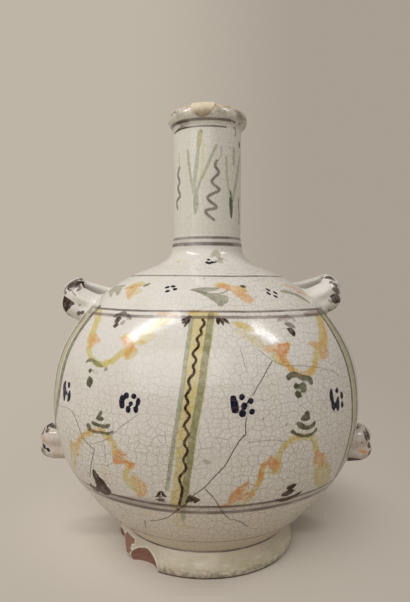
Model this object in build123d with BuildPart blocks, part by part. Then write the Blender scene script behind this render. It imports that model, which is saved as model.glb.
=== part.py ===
"""Tin-glazed earthenware pilgrim flask: a thrown globe on a foot ring, with a tall neck and four cord loops.

The globe is thrown as two bowls luted rim to rim at the belly. The neck, the foot ring and the four
grooved strap loops are made apart and luted on. The foot is chipped at its left front, and a chip in
the rim has been filled with plaster. The origin is the centre of the foot's standing face, +Z is up,
+X is the side to the right of someone who faces the flask, and -Y is its front.
"""

from build123d import *

import os
from math import cos, radians, sin

# Foot ring
foot_height = 15.4
foot_top_radius = 55.7
foot_flank_out = 2.7
foot_flank_height = 10.2
foot_lip_out = 5.3
foot_lip_height = 4.0
foot_edge_out = 3.5
foot_inner_in = 9.7
foot_bond_width = 6.0

# Lower bowl, from the foot to the belly
seat_drop = 4.0
lower_bowl_height = 83.0
belly_radius = 104.1
lower_wall = 6.6
base_thickness = 7.5
lower_radius_shares = (0.252, 0.643, 0.847, 0.959)
lower_height_shares = (0.133, 0.398, 0.590, 0.807)

# Upper bowl, from the belly to the neck
upper_bowl_height = 104.0
upper_wall = 5.8
neck_root_radius = 24.6
upper_radius_shares = (0.931, 0.765, 0.569, 0.255, 0.087)
upper_height_shares = (0.346, 0.558, 0.712, 0.856, 0.913)

# Neck and rolled rim
neck_height = 94.0
neck_radius = 23.4
bore_radius = 18.0
neck_swell_height = 9.0
rim_radius = 27.3
rim_roll_height = 13.5
rim_widest_depth = 6.8
rim_crown_radius = 22.8
rim_mouth_radius = 19.6
rim_mouth_depth = 4.5

# Chip in the rim, filled with plaster that stands a little proud
rim_chip_radius = 7.8
rim_chip_out = 2.1
rim_chip_drop = 1.6
rim_chip_turn = -7.5
repair_rise = 1.2

# Cord loops: grooved straps bent round a cord that runs up and down behind them
strap_thickness = 8.0
loop_half_spread = 10.5
loop_root_depth = 15.0
leg_growth_share = 0.5
strap_outer_shares = (
    (-1.00, -0.05), (-0.88, 0.27), (-0.48, 0.50), (-0.06, 0.36), (0.40, 0.50), (0.86, 0.25), (1.00, -0.05)
)
strap_inner_shares = ((1.00, -0.05), (0.80, -0.42), (0.00, -0.42), (-0.80, -0.42), (-1.00, -0.05))
upper_loop_lean = 13.0
upper_strap_sag = 4.6
upper_front_root_width = 17.0
upper_front_root_drop = 5.0
upper_rear_root_width = 24.0
upper_crown_rise = 1.2
upper_left_height_share = 0.636
upper_left_reach = 24.0
upper_left_width = 28.0
upper_right_height_share = 0.684
upper_right_reach = 22.0
upper_right_width = 26.0
lower_strap_sag = 1.2
lower_front_root_width = 20.0
lower_front_root_drop = 0.5
lower_rear_root_width = 20.0
lower_crown_rise = 0.0
lower_left_height_share = 0.629
lower_left_lean = 0.0
lower_left_reach = 19.2
lower_left_width = 21.5
lower_right_height_share = 0.622
lower_right_lean = 5.0
lower_right_reach = 19.4
lower_right_width = 23.0

# Chips broken out of the foot's lip
front_chip_radius = 17.0
front_chip_turn = -41.0
front_chip_out = 9.5
front_chip_level = 0.0
side_chip_radius = 40.0
side_chip_turn = -73.0
side_chip_out = 31.7
side_chip_level = -10.0

# Steps of the shared curves
halving_steps = 40
wall_steps = 7
arch_steps = 4
half_turn = 180.0

# Levels up the axis
base_level = foot_height - seat_drop
belly_level = foot_height + lower_bowl_height
neck_level = belly_level + upper_bowl_height
rim_level = neck_level + neck_height
upper_left_height = belly_level + upper_left_height_share * upper_bowl_height
upper_right_height = belly_level + upper_right_height_share * upper_bowl_height
lower_left_height = foot_height + lower_left_height_share * lower_bowl_height
lower_right_height = foot_height + lower_right_height_share * lower_bowl_height

# Radii of the foot, all from its top
foot_flank_radius = foot_top_radius + foot_flank_out
foot_lip_radius = foot_top_radius + foot_lip_out
foot_edge_radius = foot_top_radius + foot_edge_out
foot_inner_radius = foot_top_radius - foot_inner_in

part_folder = "parts"
os.makedirs(part_folder, exist_ok=True)


def lower_outline():
    """The lower bowl's outside, from the foot to the belly, where it stands upright."""
    swell = belly_radius - foot_top_radius
    places = [
        Vector(foot_top_radius + across * swell, foot_height + up * lower_bowl_height)
        for across, up in zip(lower_radius_shares, lower_height_shares)
    ]
    foot_point = Vector(foot_top_radius, foot_height)
    belly_point = Vector(belly_radius, belly_level)
    return Edge.make_spline([foot_point, *places, belly_point], tangents=[places[0] - foot_point, Vector(0, 1)])


def upper_outline():
    """The upper bowl's outside, from the belly to the neck's root."""
    swell = belly_radius - neck_root_radius
    places = [
        Vector(neck_root_radius + across * swell, belly_level + up * upper_bowl_height)
        for across, up in zip(upper_radius_shares, upper_height_shares)
    ]
    belly_point = Vector(belly_radius, belly_level)
    neck_point = Vector(neck_root_radius, neck_level)
    return Edge.make_spline([belly_point, *places, neck_point], tangents=[Vector(0, 1), Vector(0, 1)])


def inside_of(outline, wall):
    """Places on the inside of a wall of even thickness, along an outline that climbs with its outside to the right."""
    places = []
    for step in range(wall_steps + 1):
        share = step / wall_steps
        along = outline.tangent_at(share)
        places.append(outline.position_at(share) + Vector(-along.Y, along.X) * wall)
    return places


def radius_at(outline, level):
    """Radius of an outline at a level, found by halving."""
    low, high = 0.0, 1.0
    for _ in range(halving_steps):
        middle = (low + high) / 2
        if outline.position_at(middle).Y < level:
            low = middle
        else:
            high = middle
    return outline.position_at(low).X


# The solid form of the globe, used only to seat the loops on its outside
with BuildPart() as globe_form:
    with BuildSketch(Plane.YZ):
        with BuildLine():
            Polyline((0, neck_level), (0, foot_height), (foot_top_radius, foot_height))
            add(lower_outline())
            add(upper_outline())
            Line((neck_root_radius, neck_level), (0, neck_level))
        make_face()
    revolve(axis=Axis.Z)


def make_foot_ring():
    """Foot ring with a rounded lip and two chips broken out of it."""
    bond_radius = foot_top_radius - seat_drop
    with BuildPart() as foot_ring:
        with BuildSketch(Plane.YZ):
            with BuildLine():
                Line((foot_inner_radius, 0), (foot_edge_radius, 0))
                Spline(
                    (foot_edge_radius, 0),
                    (foot_lip_radius, foot_lip_height),
                    (foot_flank_radius, foot_flank_height),
                    (foot_top_radius, foot_height),
                    tangents=[(1, 1), (-foot_flank_out, foot_height - foot_flank_height)],
                )
                Polyline(
                    (foot_top_radius, foot_height),
                    (bond_radius, base_level),
                    (bond_radius - foot_bond_width, base_level),
                    (foot_inner_radius, 0),
                )
            make_face()
        revolve(axis=Axis.Z)
        for turn, out, level, size in (
            (front_chip_turn, front_chip_out, front_chip_level, front_chip_radius),
            (side_chip_turn, side_chip_out, side_chip_level, side_chip_radius),
        ):
            middle = foot_lip_radius + out
            with Locations((middle * sin(radians(turn)), -middle * cos(radians(turn)), level)):
                Sphere(size, mode=Mode.SUBTRACT)
    foot_ring.part.label = "foot_ring"
    return foot_ring


def make_lower_bowl():
    """Lower bowl, with an even wall, a thick base and a flat edge at the belly."""
    bond_radius = foot_top_radius - seat_drop
    floor_level = base_level + base_thickness
    inner = inside_of(lower_outline(), lower_wall)
    with BuildPart() as lower_bowl:
        with BuildSketch(Plane.YZ):
            with BuildLine():
                Polyline((0, floor_level), (0, base_level), (bond_radius, base_level), (foot_top_radius, foot_height))
                add(lower_outline())
                Line((belly_radius, belly_level), (inner[-1].X, belly_level))
                Spline(
                    (inner[-1].X, belly_level),
                    *[(place.X, place.Y) for place in inner[-2:0:-1]],
                    (bond_radius - base_thickness, floor_level),
                    tangents=[(0, -1), (-1, 0)],
                )
                Line((bond_radius - base_thickness, floor_level), (0, floor_level))
            make_face()
        revolve(axis=Axis.Z)
    lower_bowl.part.label = "lower_bowl"
    return lower_bowl


def make_upper_bowl():
    """Upper bowl, drawn in from the belly to the neck's root."""
    inner = inside_of(upper_outline(), upper_wall)
    with BuildPart() as upper_bowl:
        with BuildSketch(Plane.YZ):
            with BuildLine():
                add(upper_outline())
                Line((neck_root_radius, neck_level), (bore_radius, neck_level))
                Spline(
                    (bore_radius, neck_level),
                    *[(place.X, place.Y) for place in inner[-2:0:-1]],
                    (inner[0].X, belly_level),
                    tangents=[(0, -1), (0, -1)],
                )
                Line((inner[0].X, belly_level), (belly_radius, belly_level))
            make_face()
        revolve(axis=Axis.Z)
    upper_bowl.part.label = "upper_bowl"
    return upper_bowl


def neck_form(top_level):
    """The whole neck with its rolled rim, before the chip."""
    roll_level = top_level - rim_roll_height
    mouth_level = top_level - rim_mouth_depth
    swell_level = neck_level + neck_swell_height
    with BuildPart() as form:
        with BuildSketch(Plane.YZ):
            with BuildLine():
                Spline((neck_root_radius, neck_level), (neck_radius, swell_level), tangents=[(0, 1), (0, 1)])
                Line((neck_radius, swell_level), (neck_radius, roll_level))
                Spline(
                    (neck_radius, roll_level),
                    (rim_radius, top_level - rim_widest_depth),
                    (rim_crown_radius, top_level),
                    tangents=[(0, 1), (-1, 0)],
                )
                Line((rim_crown_radius, top_level), (rim_mouth_radius, top_level))
                EllipticalCenterArc(
                    (rim_mouth_radius, mouth_level),
                    rim_mouth_radius - bore_radius,
                    rim_mouth_depth,
                    start_angle=half_turn / 2,
                    arc_size=half_turn / 2,
                )
                Polyline((bore_radius, mouth_level), (bore_radius, neck_level), (neck_root_radius, neck_level))
            make_face()
        revolve(axis=Axis.Z)
    return form.part


def chip_place():
    """Middle of the round chip in the rim."""
    middle = rim_crown_radius + rim_chip_out
    turn = radians(rim_chip_turn)
    return (middle * sin(turn), -middle * cos(turn), rim_level - rim_chip_drop)


def make_neck():
    """Neck with its rolled rim, less the chip."""
    with BuildPart() as neck:
        add(neck_form(rim_level))
        with Locations(chip_place()):
            Sphere(rim_chip_radius, mode=Mode.SUBTRACT)
    neck.part.label = "neck"
    return neck


def make_rim_repair():
    """Plaster that fills the chip, pared to the rim's outline and left a little proud on top."""
    with BuildPart() as rim_repair:
        add(neck_form(rim_level + repair_rise))
        with Locations(chip_place()):
            Sphere(rim_chip_radius, mode=Mode.INTERSECT)
    rim_repair.part.label = "rim_repair"
    return rim_repair


def make_loop(name, side, height, reach, width, lean, sag, rise, front_root, rear_root, front_drop):
    """One cord loop: a strap arched from front to back, cut to the globe that it is luted on.

    Its section has two lobes with a groove between them outside, and sags towards both edges. Its
    front root is narrower than its crown and set lower down the globe.
    """
    outline = lower_outline() if height < belly_level else upper_outline()
    seat = Vector(side * radius_at(outline, height), 0, height)
    across = Vector(-side * sin(radians(lean)), 0, cos(radians(lean)))
    outward = Vector(side * cos(radians(lean)), 0, sin(radians(lean)))
    front = Vector(0, -1, 0)
    arch_middle = seat + outward * (reach - strap_thickness / 2 - loop_half_spread)

    crown = []
    for step in range(arch_steps + 1):
        turn = radians(half_turn * step / arch_steps)
        direction = front * cos(turn) + outward * sin(turn)
        crown_share = leg_growth_share + (1 - leg_growth_share) * sin(turn)
        root_width, root_drop = (front_root, front_drop) if cos(turn) > 0 else (rear_root, 0)
        strap_width = width * crown_share + root_width * (1 - crown_share)
        shift = rise * crown_share - root_drop * (1 - crown_share)
        crown.append((arch_middle + direction * loop_half_spread + across * shift, direction, strap_width))
    rear_root_place = seat - outward * loop_root_depth - front * loop_half_spread
    front_root_place = seat - outward * loop_root_depth + front * loop_half_spread - across * front_drop
    front_leg = [(front_root_place, front, front_root), crown[0]]
    rear_leg = [(rear_root_place, -front, rear_root), crown[-1]]

    with BuildPart() as loop:
        for stations in (front_leg, rear_leg, crown):
            is_leg = stations is not crown
            for place, direction, strap_width in stations:
                with BuildSketch(Plane(place, x_dir=across, z_dir=across.cross(direction))):
                    with BuildLine():
                        for shares in (strap_outer_shares, strap_inner_shares):
                            Spline(*[
                                (w * strap_width / 2, t * strap_thickness - sag * w * w) for w, t in shares
                            ])
                    make_face()
            loft(ruled=is_leg)
            if is_leg:
                add(globe_form.part, mode=Mode.SUBTRACT)
    loop.part.label = name
    return loop


def make_upper_loop(name, side, height, reach, width):
    """One of the two loops high on the shoulder, leaning in towards the neck."""
    return make_loop(
        name, side, height, reach, width, upper_loop_lean, upper_strap_sag, upper_crown_rise,
        upper_front_root_width, upper_rear_root_width, upper_front_root_drop,
    )


def make_lower_loop(name, side, height, reach, width, lean):
    """One of the two upright loops below the belly."""
    return make_loop(
        name, side, height, reach, width, lean, lower_strap_sag, lower_crown_rise,
        lower_front_root_width, lower_rear_root_width, lower_front_root_drop,
    )


pieces = [
    make_foot_ring(),
    make_lower_bowl(),
    make_upper_bowl(),
    make_neck(),
    make_rim_repair(),
    make_upper_loop("upper_left_loop", -1, upper_left_height, upper_left_reach, upper_left_width),
    make_upper_loop("upper_right_loop", 1, upper_right_height, upper_right_reach, upper_right_width),
    make_lower_loop(
        "lower_left_loop", -1, lower_left_height, lower_left_reach, lower_left_width, lower_left_lean
    ),
    make_lower_loop(
        "lower_right_loop", 1, lower_right_height, lower_right_reach, lower_right_width, lower_right_lean
    ),
]
for piece in pieces:
    export_step(piece.part, f"{part_folder}/{piece.part.label}.step")
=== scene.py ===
"""Dresses the pilgrim flask: its thrown and painted forms, its strap loops, the stage, the light and the camera.

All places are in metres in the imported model's frame: the origin is the centre of the foot's standing
face, +Z is up and -Y is the painted front. Paint is laid by turn, in degrees to the right of the
front, and by height up the axis, in millimetres.
"""

from contextlib import contextmanager
from math import cos, pi, radians, sin

import bmesh
import bpy
import numpy as np
from bpy.props import FloatProperty, FloatVectorProperty, PointerProperty
from mathutils import Matrix, Vector


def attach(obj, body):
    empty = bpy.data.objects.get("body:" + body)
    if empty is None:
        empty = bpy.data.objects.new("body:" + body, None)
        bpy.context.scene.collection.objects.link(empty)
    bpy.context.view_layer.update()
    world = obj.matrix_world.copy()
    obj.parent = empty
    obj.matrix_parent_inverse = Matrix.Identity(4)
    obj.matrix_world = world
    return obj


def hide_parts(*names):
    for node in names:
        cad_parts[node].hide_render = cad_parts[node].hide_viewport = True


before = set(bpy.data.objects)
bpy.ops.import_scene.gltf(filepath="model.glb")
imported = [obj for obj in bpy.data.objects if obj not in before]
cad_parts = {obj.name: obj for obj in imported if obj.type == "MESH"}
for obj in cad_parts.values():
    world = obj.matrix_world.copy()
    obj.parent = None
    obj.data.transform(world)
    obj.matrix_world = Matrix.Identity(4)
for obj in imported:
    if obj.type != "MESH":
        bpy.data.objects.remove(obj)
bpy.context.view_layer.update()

bl_info = {
    "name": "Pilgrim flask",
    "version": (1, 0, 0),
    "blender": (4, 5, 0),
    "location": "3D View > Sidebar > Flask",
    "description": "Builds a painted pilgrim flask round its packed solids",
    "category": "Object",
}

MM = 0.001

# The flask's outside, as in the solids, in millimetres
foot_height = 15.4
foot_radius = 59.2
foot_top_radius = 55.7
foot_inner_radius = 46.0
base_level = 11.4
bond_radius = 51.7
bond_width = 6.0
belly_radius = 104.1
belly_level = 98.4
neck_root_radius = 24.6
neck_waist_radius = 23.4
neck_level = 202.4
rim_level = 296.4
crown_radius = 22.8
mouth_radius = 19.6
mouth_depth = 4.5
mouth_rounding = 1.6
bore_radius = 18.0
lower_shares = ((0.252, 0.133), (0.643, 0.398), (0.847, 0.590), (0.959, 0.807))
upper_shares = ((0.931, 0.346), (0.765, 0.558), (0.569, 0.712), (0.255, 0.856), (0.087, 0.913))

# Thicknesses of the bowls' walls and of the lower bowl's floor, in millimetres
lower_wall = 6.6
upper_wall = 5.8
floor_thickness = 7.5


def run_along(places):
    """The distance covered at each place of a line."""
    return np.concatenate([[0.0], np.cumsum(np.linalg.norm(np.diff(places, axis=0), axis=1))])


def flowing(points, start=None, end=None, steps=200):
    """Places along the smooth curve through some points, with its directions at the ends if they are given."""
    points = np.array(points, float)
    knots = run_along(points)
    gaps = np.diff(knots)
    count = len(points)
    system = np.zeros((count, count))
    wanted = np.zeros((count, points.shape[1]))
    for i in range(1, count - 1):
        system[i, i - 1: i + 2] = gaps[i], 2 * (gaps[i - 1] + gaps[i]), gaps[i - 1]
        wanted[i] = 3 * (
            gaps[i] * (points[i] - points[i - 1]) / gaps[i - 1]
            + gaps[i - 1] * (points[i + 1] - points[i]) / gaps[i]
        )
    for row, other, gap, tangent in ((0, 1, gaps[0], start), (-1, -2, gaps[-1], end)):
        if tangent is None:
            system[row, row], system[row, other] = 2, 1
            first, last = (points[0], points[1]) if row == 0 else (points[-2], points[-1])
            wanted[row] = 3 * (last - first) / gap
        else:
            system[row, row] = 1
            wanted[row] = np.array(tangent, float) / np.linalg.norm(tangent)
    slopes = np.linalg.solve(system, wanted)
    places = np.linspace(0, knots[-1], steps)
    index = np.clip(np.searchsorted(knots, places, side="right") - 1, 0, count - 2)
    gap = gaps[index][:, None]
    t = ((places - knots[index]) / gaps[index])[:, None]
    return (
        (2 * t**3 - 3 * t**2 + 1) * points[index]
        + (t**3 - 2 * t**2 + t) * gap * slopes[index]
        + (3 * t**2 - 2 * t**3) * points[index + 1]
        + (t**3 - t**2) * gap * slopes[index + 1]
    )


def evenly(places, spacing):
    """The same line with its places about a spacing apart."""
    places = np.array(places, float)
    along = run_along(places)
    wanted = np.linspace(0, along[-1], max(2, int(round(along[-1] / spacing)) + 1))
    return np.stack([np.interp(wanted, along, column) for column in places.T], axis=1)


def bowl_outline(first, last, shares, start):
    """A bowl's outside from its lower to its upper edge, as radius and height."""
    low_radius, low_level = first
    high_radius, high_level = last
    small = min(low_radius, high_radius)
    middle = [
        (small + out * abs(high_radius - low_radius), low_level + up * (high_level - low_level))
        for out, up in shares
    ]
    return flowing([first, *middle, last], start or np.subtract(middle[0], first), (0, 1), 900)


def neck_outline(top=rim_level):
    """The neck's outside with its swell and rolled rim, as radius and height."""
    swell = flowing(
        [(neck_root_radius, neck_level), (neck_waist_radius, neck_level + 9.0)], (0, 1), (0, 1), 40
    )
    roll = flowing([(neck_waist_radius, top - 13.5), (27.3, top - 6.8), (crown_radius, top)], (0, 1), (-1, 0), 80)
    return np.concatenate([swell, roll])


foot_line = flowing(
    [(foot_radius, 0), (61.0, 4.0), (58.4, 10.2), (foot_top_radius, foot_height)], (1, 1), (-2.7, 5.2), 120
)
lower_line = bowl_outline((foot_top_radius, foot_height), (belly_radius, belly_level), lower_shares, None)
upper_line = bowl_outline((belly_radius, belly_level), (neck_root_radius, neck_level), upper_shares, (0, 1))
globe_line = np.concatenate([lower_line, upper_line[1:]])
surface_line = np.concatenate([foot_line[:-1], globe_line, neck_outline()[1:]])


def radius_at(height, line=surface_line):
    """Radius of a line's form at a height, both in millimetres."""
    return np.interp(height, line[:, 1], line[:, 0])


# Sizes and colours that a user would change


def length_value(name, description, default, **limits):
    """A small length, given in millimetres."""
    return FloatProperty(
        name=name, description=description, default=default * MM, unit="LENGTH", subtype="DISTANCE", **limits
    )


def colour_value(name, description, *default):
    """A colour, given as red, green and blue."""
    return FloatVectorProperty(
        name=name, description=description, default=(*default, 1), size=4, subtype="COLOR", min=0, max=1
    )


class FlaskSizes(bpy.types.PropertyGroup):
    """Sizes of the flask's small forms."""

    cell: length_value("Cell", "Width of one face of a thrown piece", 1.0, min=0.4 * MM)
    ring_depth: length_value("Throwing rings", "How far the potter's rings stand out", 0.10)
    unevenness: length_value("Unevenness", "How far a wall wanders from a true circle", 0.35)
    strap_thickness: length_value("Strap thickness", "Thickness of a cord loop's strap", 8.0)
    root_smear: length_value("Root smear", "How far a loop's root is smeared over the globe", 2.4)
    crazing: length_value("Crazing", "Width of one cell of the glaze's fine cracks", 2.7)


class FlaskColours(bpy.types.PropertyGroup):
    """Colours of the glaze, the paints, the clay and the stage."""

    glaze: colour_value("Glaze", "Tin glaze on the shoulder and belly", 0.600, 0.566, 0.512)
    buff: colour_value("Buff glaze", "Thinner, warmer glaze near the foot", 0.590, 0.505, 0.390)
    blue: colour_value("Blue-black", "Dark blue-black paint of the dot clusters", 0.006, 0.007, 0.022)
    manganese: colour_value("Manganese", "Brown-violet paint of the lines and dabs", 0.027, 0.011, 0.004)
    thin_manganese: colour_value("Thin manganese", "The same paint where it lies thin", 0.130, 0.074, 0.080)
    green: colour_value("Green", "Grey-green paint of the leaves and bands", 0.064, 0.065, 0.030)
    thin_green: colour_value("Thin green", "The green where it lies thin", 0.205, 0.228, 0.078)
    yellow: colour_value("Yellow", "Yellow paint of the garlands", 0.495, 0.398, 0.115)
    orange: colour_value("Orange", "Orange paint of the flowers", 0.530, 0.216, 0.056)
    thin_orange: colour_value("Thin orange", "The orange where it lies thin", 0.600, 0.350, 0.080)
    clay: colour_value("Clay", "Reddish clay where the glaze has broken away", 0.345, 0.180, 0.130)
    plaster: colour_value("Plaster", "Plaster in the rim's chip", 0.560, 0.475, 0.335)
    floor: colour_value("Floor", "Floor under the flask", 0.650, 0.590, 0.505)
    backdrop: colour_value("Backdrop", "Plain background, as the eye sees it", 0.520, 0.460, 0.385)


# Materials


class Value:
    """A socket's number, so that materials can be written as plain sums."""

    def __init__(self, nodes, socket):
        self.nodes, self.socket = nodes, socket

    def __add__(self, other):
        return self.nodes.math("ADD", self, other)

    def __sub__(self, other):
        return self.nodes.math("SUBTRACT", self, other)

    def __rsub__(self, other):
        return self.nodes.math("SUBTRACT", other, self)

    def __mul__(self, other):
        return self.nodes.math("MULTIPLY", self, other)

    __radd__, __rmul__ = __add__, __mul__


class Nodes:
    """Adds nodes to a tree with few words."""

    def __init__(self, tree, place=None):
        self.tree, self.place = tree, place
        tree.nodes.clear()

    def add(self, kind, *values, **settings):
        """A node with its settings, its inputs filled in order with numbers, colours or other sockets."""
        node = self.tree.nodes.new(kind)
        for name, value in settings.items():
            setattr(node, name, value)
        for socket, value in zip(node.inputs, values):
            self.fill(socket, value)
        return node

    def named(self, kind, inputs, **settings):
        """A node with its settings, its inputs filled by name."""
        node = self.add(kind, **settings)
        for name, value in inputs.items():
            self.fill(node.inputs[name], value)
        return node

    def fill(self, socket, value):
        if isinstance(value, Value):
            value = value.socket
        if isinstance(value, bpy.types.NodeSocket):
            self.tree.links.new(value, socket)
        elif socket.type == "RGBA":
            socket.default_value = (*value[:3], 1)
        elif value is not None:
            socket.default_value = value

    def math(self, operation, *values):
        return Value(self, self.add("ShaderNodeMath", *values, operation=operation).outputs[0])

    def vector(self, operation, *values):
        return self.add("ShaderNodeVectorMath", *values, operation=operation).outputs[0]

    def combined(self, *values):
        return self.add("ShaderNodeCombineXYZ", *values).outputs[0]

    def separated(self, vector):
        return [Value(self, socket) for socket in self.add("ShaderNodeSeparateXYZ", vector).outputs]

    def blend(self, share, first, second):
        """The first colour below the second, which covers it by the share."""
        node = self.add("ShaderNodeMix", data_type="RGBA", clamp_factor=True)
        for index, value in ((0, share), (6, first), (7, second)):
            self.fill(node.inputs[index], value)
        return node.outputs[2]

    def step(self, value, low, high):
        """0 below the low value, 1 above the high one, smooth between."""
        node = self.add("ShaderNodeMapRange", value, low, high, 0.0, 1.0, interpolation_type="SMOOTHSTEP")
        return Value(self, node.outputs[0])

    def noise(self, scale, detail, roughness, seed, place=None):
        place = place or self.place
        inputs = {"Vector": place, "W": seed, "Scale": scale, "Detail": detail, "Roughness": roughness}
        return Value(self, self.named("ShaderNodeTexNoise", inputs, noise_dimensions="4D").outputs[0])

    def spots(self, low, high, *noise):
        """Patches of 1 on 0, where a noise passes from the low value to the high one."""
        return self.step(self.noise(*noise), low, high)

    def wobble(self, size, *noise):
        """A noise that wanders to both sides of nothing."""
        return (self.noise(*noise) - 0.5) * size

    def attribute(self, name):
        return Value(self, self.add("ShaderNodeAttribute", attribute_name=name).outputs["Fac"])

    def surface(self, colour, roughness, height, strength, distance, **more):
        """Makes the material's output: a shader with its colour, roughness and bumps, given in millimetres."""
        bump = self.named("ShaderNodeBump", {"Strength": strength, "Distance": distance * MM, "Height": height})
        inputs = {"Base Color": colour, "Roughness": roughness, "Normal": bump.outputs[0], **more}
        self.add("ShaderNodeOutputMaterial", self.named("ShaderNodeBsdfPrincipled", inputs).outputs[0])


def new_material(name):
    material = bpy.data.materials.new(name)
    material.use_nodes = True
    nodes = Nodes(material.node_tree)
    nodes.place = nodes.add("ShaderNodeTexCoord").outputs["Object"]
    return material, nodes


def glaze_material(colours, sizes):
    """Crazed tin glaze with its paints, rings, cracks, wear and bare clay."""
    material, nodes = new_material("painted_tin_glaze")
    blend, step, spots, attribute = nodes.blend, nodes.step, nodes.spots, nodes.attribute
    x, y, z = nodes.separated(nodes.place)
    right, level = x * 1000.0, z * 1000.0
    globe = 1.0 - attribute("strap")

    # Ground: whiter where the glaze lies thick, buff where it thins, greenish on the neck and foot
    ground = blend(step(level + nodes.wobble(40.0, 14.0, 3.0, 0.55, 1.0), 8.0, 72.0), colours.buff, colours.glaze)
    thin_at_foot = (1.0 - step(level, 9.0, 15.5)) * (spots(0.36, 0.62, 70.0, 4.0, 0.6, 14.0) * 0.55 + 0.30)
    worn = 1.0 - step(level, 1.5, 8.0)
    rubbed = spots(0.42, 0.60, 330.0, 5.0, 0.68, 15.0)
    # Painted shadow: a dark line round the foot's lowest edge, where it stands on the floor
    painted_contact_shadow = 1.0 - step(level + nodes.noise(260.0, 3.0, 0.6, 18.0) * -2.6, -0.4, 0.9)
    rim = step(level, 286.5, 290.5)
    grime = spots(0.42, 0.58, 120.0, 5.0, 0.68, 16.0)
    # The lower loops, darker and pinker in patches
    lower_loop_tint = (1.0 - step(level, 90.0, 130.0)) * attribute("strap")
    # Painted highlights: pale streaks stretched round the foot, low down
    painted_foot_highlights = nodes.noise(120.0, 3.0, 0.6, 21.0, nodes.vector("MULTIPLY", nodes.place, (1.0, 1.0, 4.0)))
    painted_foot_highlights = step(painted_foot_highlights, 0.50, 0.64) * (step(level, 1.0, 4.0) - step(level, 8.0, 12.0))
    for share, tint in (
        (spots(0.35, 0.75, 60.0, 5.0, 0.6, 2.0) * 0.16, (0.50, 0.41, 0.30)),
        (spots(0.56, 0.76, 26.0, 6.0, 0.65, 3.0) * 0.22, (0.40, 0.29, 0.17)),
        (step(level, 196.0, 216.0) * 0.75, (0.560, 0.540, 0.465)),
        (thin_at_foot, (0.440, 0.405, 0.250)),
        (worn * 0.80, blend(rubbed, (0.60, 0.54, 0.44), (0.22, 0.17, 0.12))),
        (painted_contact_shadow * 0.92, (0.060, 0.042, 0.028)),
        (rim * 0.55, (0.470, 0.405, 0.320)),
        # Grime patches on the rim, made darker towards the right as painted shade
        (rim * grime * (step(right, 2.0, 20.0) * 0.40 + 0.45), (0.165, 0.125, 0.080)),
        (step(level + grime * 1.2, 293.6, 295.6) * 0.85, blend(rubbed, (0.60, 0.46, 0.32), (0.40, 0.27, 0.16))),
        (lower_loop_tint * (spots(0.35, 0.65, 190.0, 4.0, 0.6, 20.0) * 0.40 + 0.30), (0.400, 0.300, 0.235)),
        (painted_foot_highlights * 0.42, (0.74, 0.70, 0.60)),
    ):
        ground = blend(share, ground, tint)

    def painted(under, share, thin_paint, paint):
        """Paint over what lies under it, in its thin colour where there is little of it."""
        return blend(share, under, blend(step(share, 0.25, 0.95), thin_paint, paint) if thin_paint else paint)

    # Brushed edges waver by a fraction of a millimetre, garlands by more
    waver = nodes.wobble(0.8, 700.0, 2.0, 0.5, 4.0)
    ragged = nodes.wobble(3.4, 330.0, 3.0, 0.6, 13.0)
    body = spots(0.25, 0.75, 260.0, 3.0, 0.6, 5.0)
    colour, shares = ground, {}
    for name, thin_paint, cover, edge, low_edge, high_edge, streaked in (
        (YELLOW, None, 1.1, ragged, 1.2, 2.7, 0.40),
        (ORANGE, colours.thin_orange, 1.22, ragged, 1.3, 3.0, 0.45),
        (GREEN, colours.thin_green, 1.15, waver, 1.70, 2.40, 0.30),
        (BROWN, colours.thin_manganese, 1.1, waver, 1.70, 2.30, 0.25),
        (BLUE, None, 1.2, waver, 1.60, 2.08, 0.08),
    ):
        share = step(attribute(name) + edge, low_edge, high_edge) * attribute(name + "_strength")
        share = nodes.math("MINIMUM", share * (body * streaked + (1.0 - streaked)) * cover, 1.0)
        colour = painted(colour, share, thin_paint, getattr(colours, name))
        shares[name] = share
    dull = nodes.math("MAXIMUM", shares[BROWN], shares[BLUE])

    # Banded lines, turned on the wheel
    sway = nodes.wobble(2.2, 16.0, 2.0, 0.5, 6.0)
    fade = spots(0.25, 0.60, 45.0, 3.0, 0.6, 7.0) * 0.5 + 0.5
    before = step(y * -1000.0, -1.0, 3.0)
    for height, half_width, strength, end in band_lines:
        away = nodes.math("ABSOLUTE", level + sway - height) + waver * 0.3
        load = fade * strength * globe
        if end is not None:
            load = load * (1.0 - step(right, end, end + 1.0) * before)
        share = (1.0 - step(away, half_width * 0.55, half_width * 1.25)) * load
        colour = painted(colour, share, colours.thin_manganese, colours.manganese)

    # Crazing in large and small cells on the unrolled surface, stronger low down and to the right
    globe_girth, neck_girth = 0.097, 0.029
    girth = step(level, 205.0, 205.4) * (neck_girth - globe_girth) + globe_girth
    unrolled = nodes.math("ARCTAN2", x, y * -1.0) * girth
    wander = nodes.add("ShaderNodeTexNoise", nodes.place, 0.0, 60.0, 3.0).outputs["Color"]
    wander = nodes.vector("MULTIPLY", wander, (0.006, 0.006, 0.006))
    bent = nodes.vector("ADD", nodes.combined(unrolled, z, 0.0), wander)
    craze = None
    for width, half_width, share in ((sizes.crazing, 0.00015, 0.50), (sizes.crazing * 1.9, 0.00018, 0.66)):
        cells = nodes.named(
            "ShaderNodeTexVoronoi", {"Vector": bent, "Scale": 1.0 / width, "Randomness": 0.78},
            voronoi_dimensions="2D", feature="DISTANCE_TO_EDGE",
        )
        edge = step(cells.outputs[0], half_width * 0.3 / width, half_width * 1.4 / width)
        edge = (1.0 - edge) * share
        craze = edge if craze is None else nodes.math("MAXIMUM", craze, edge)
    strength = nodes.math("MAXIMUM", step(x, -0.05, 0.06) * 0.85, 1.0 - step(level, 85.0, 150.0))
    strength = (strength * 0.70 + 0.22) * (spots(0.30, 0.62, 30.0, 3.0, 0.6, 8.0) * 0.55 + 0.45)
    craze = craze * step(level, 12.0, 30.0) * (strength * (globe * 0.85 + 0.15))
    colour = blend(craze, colour, (0.150, 0.105, 0.070))

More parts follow.
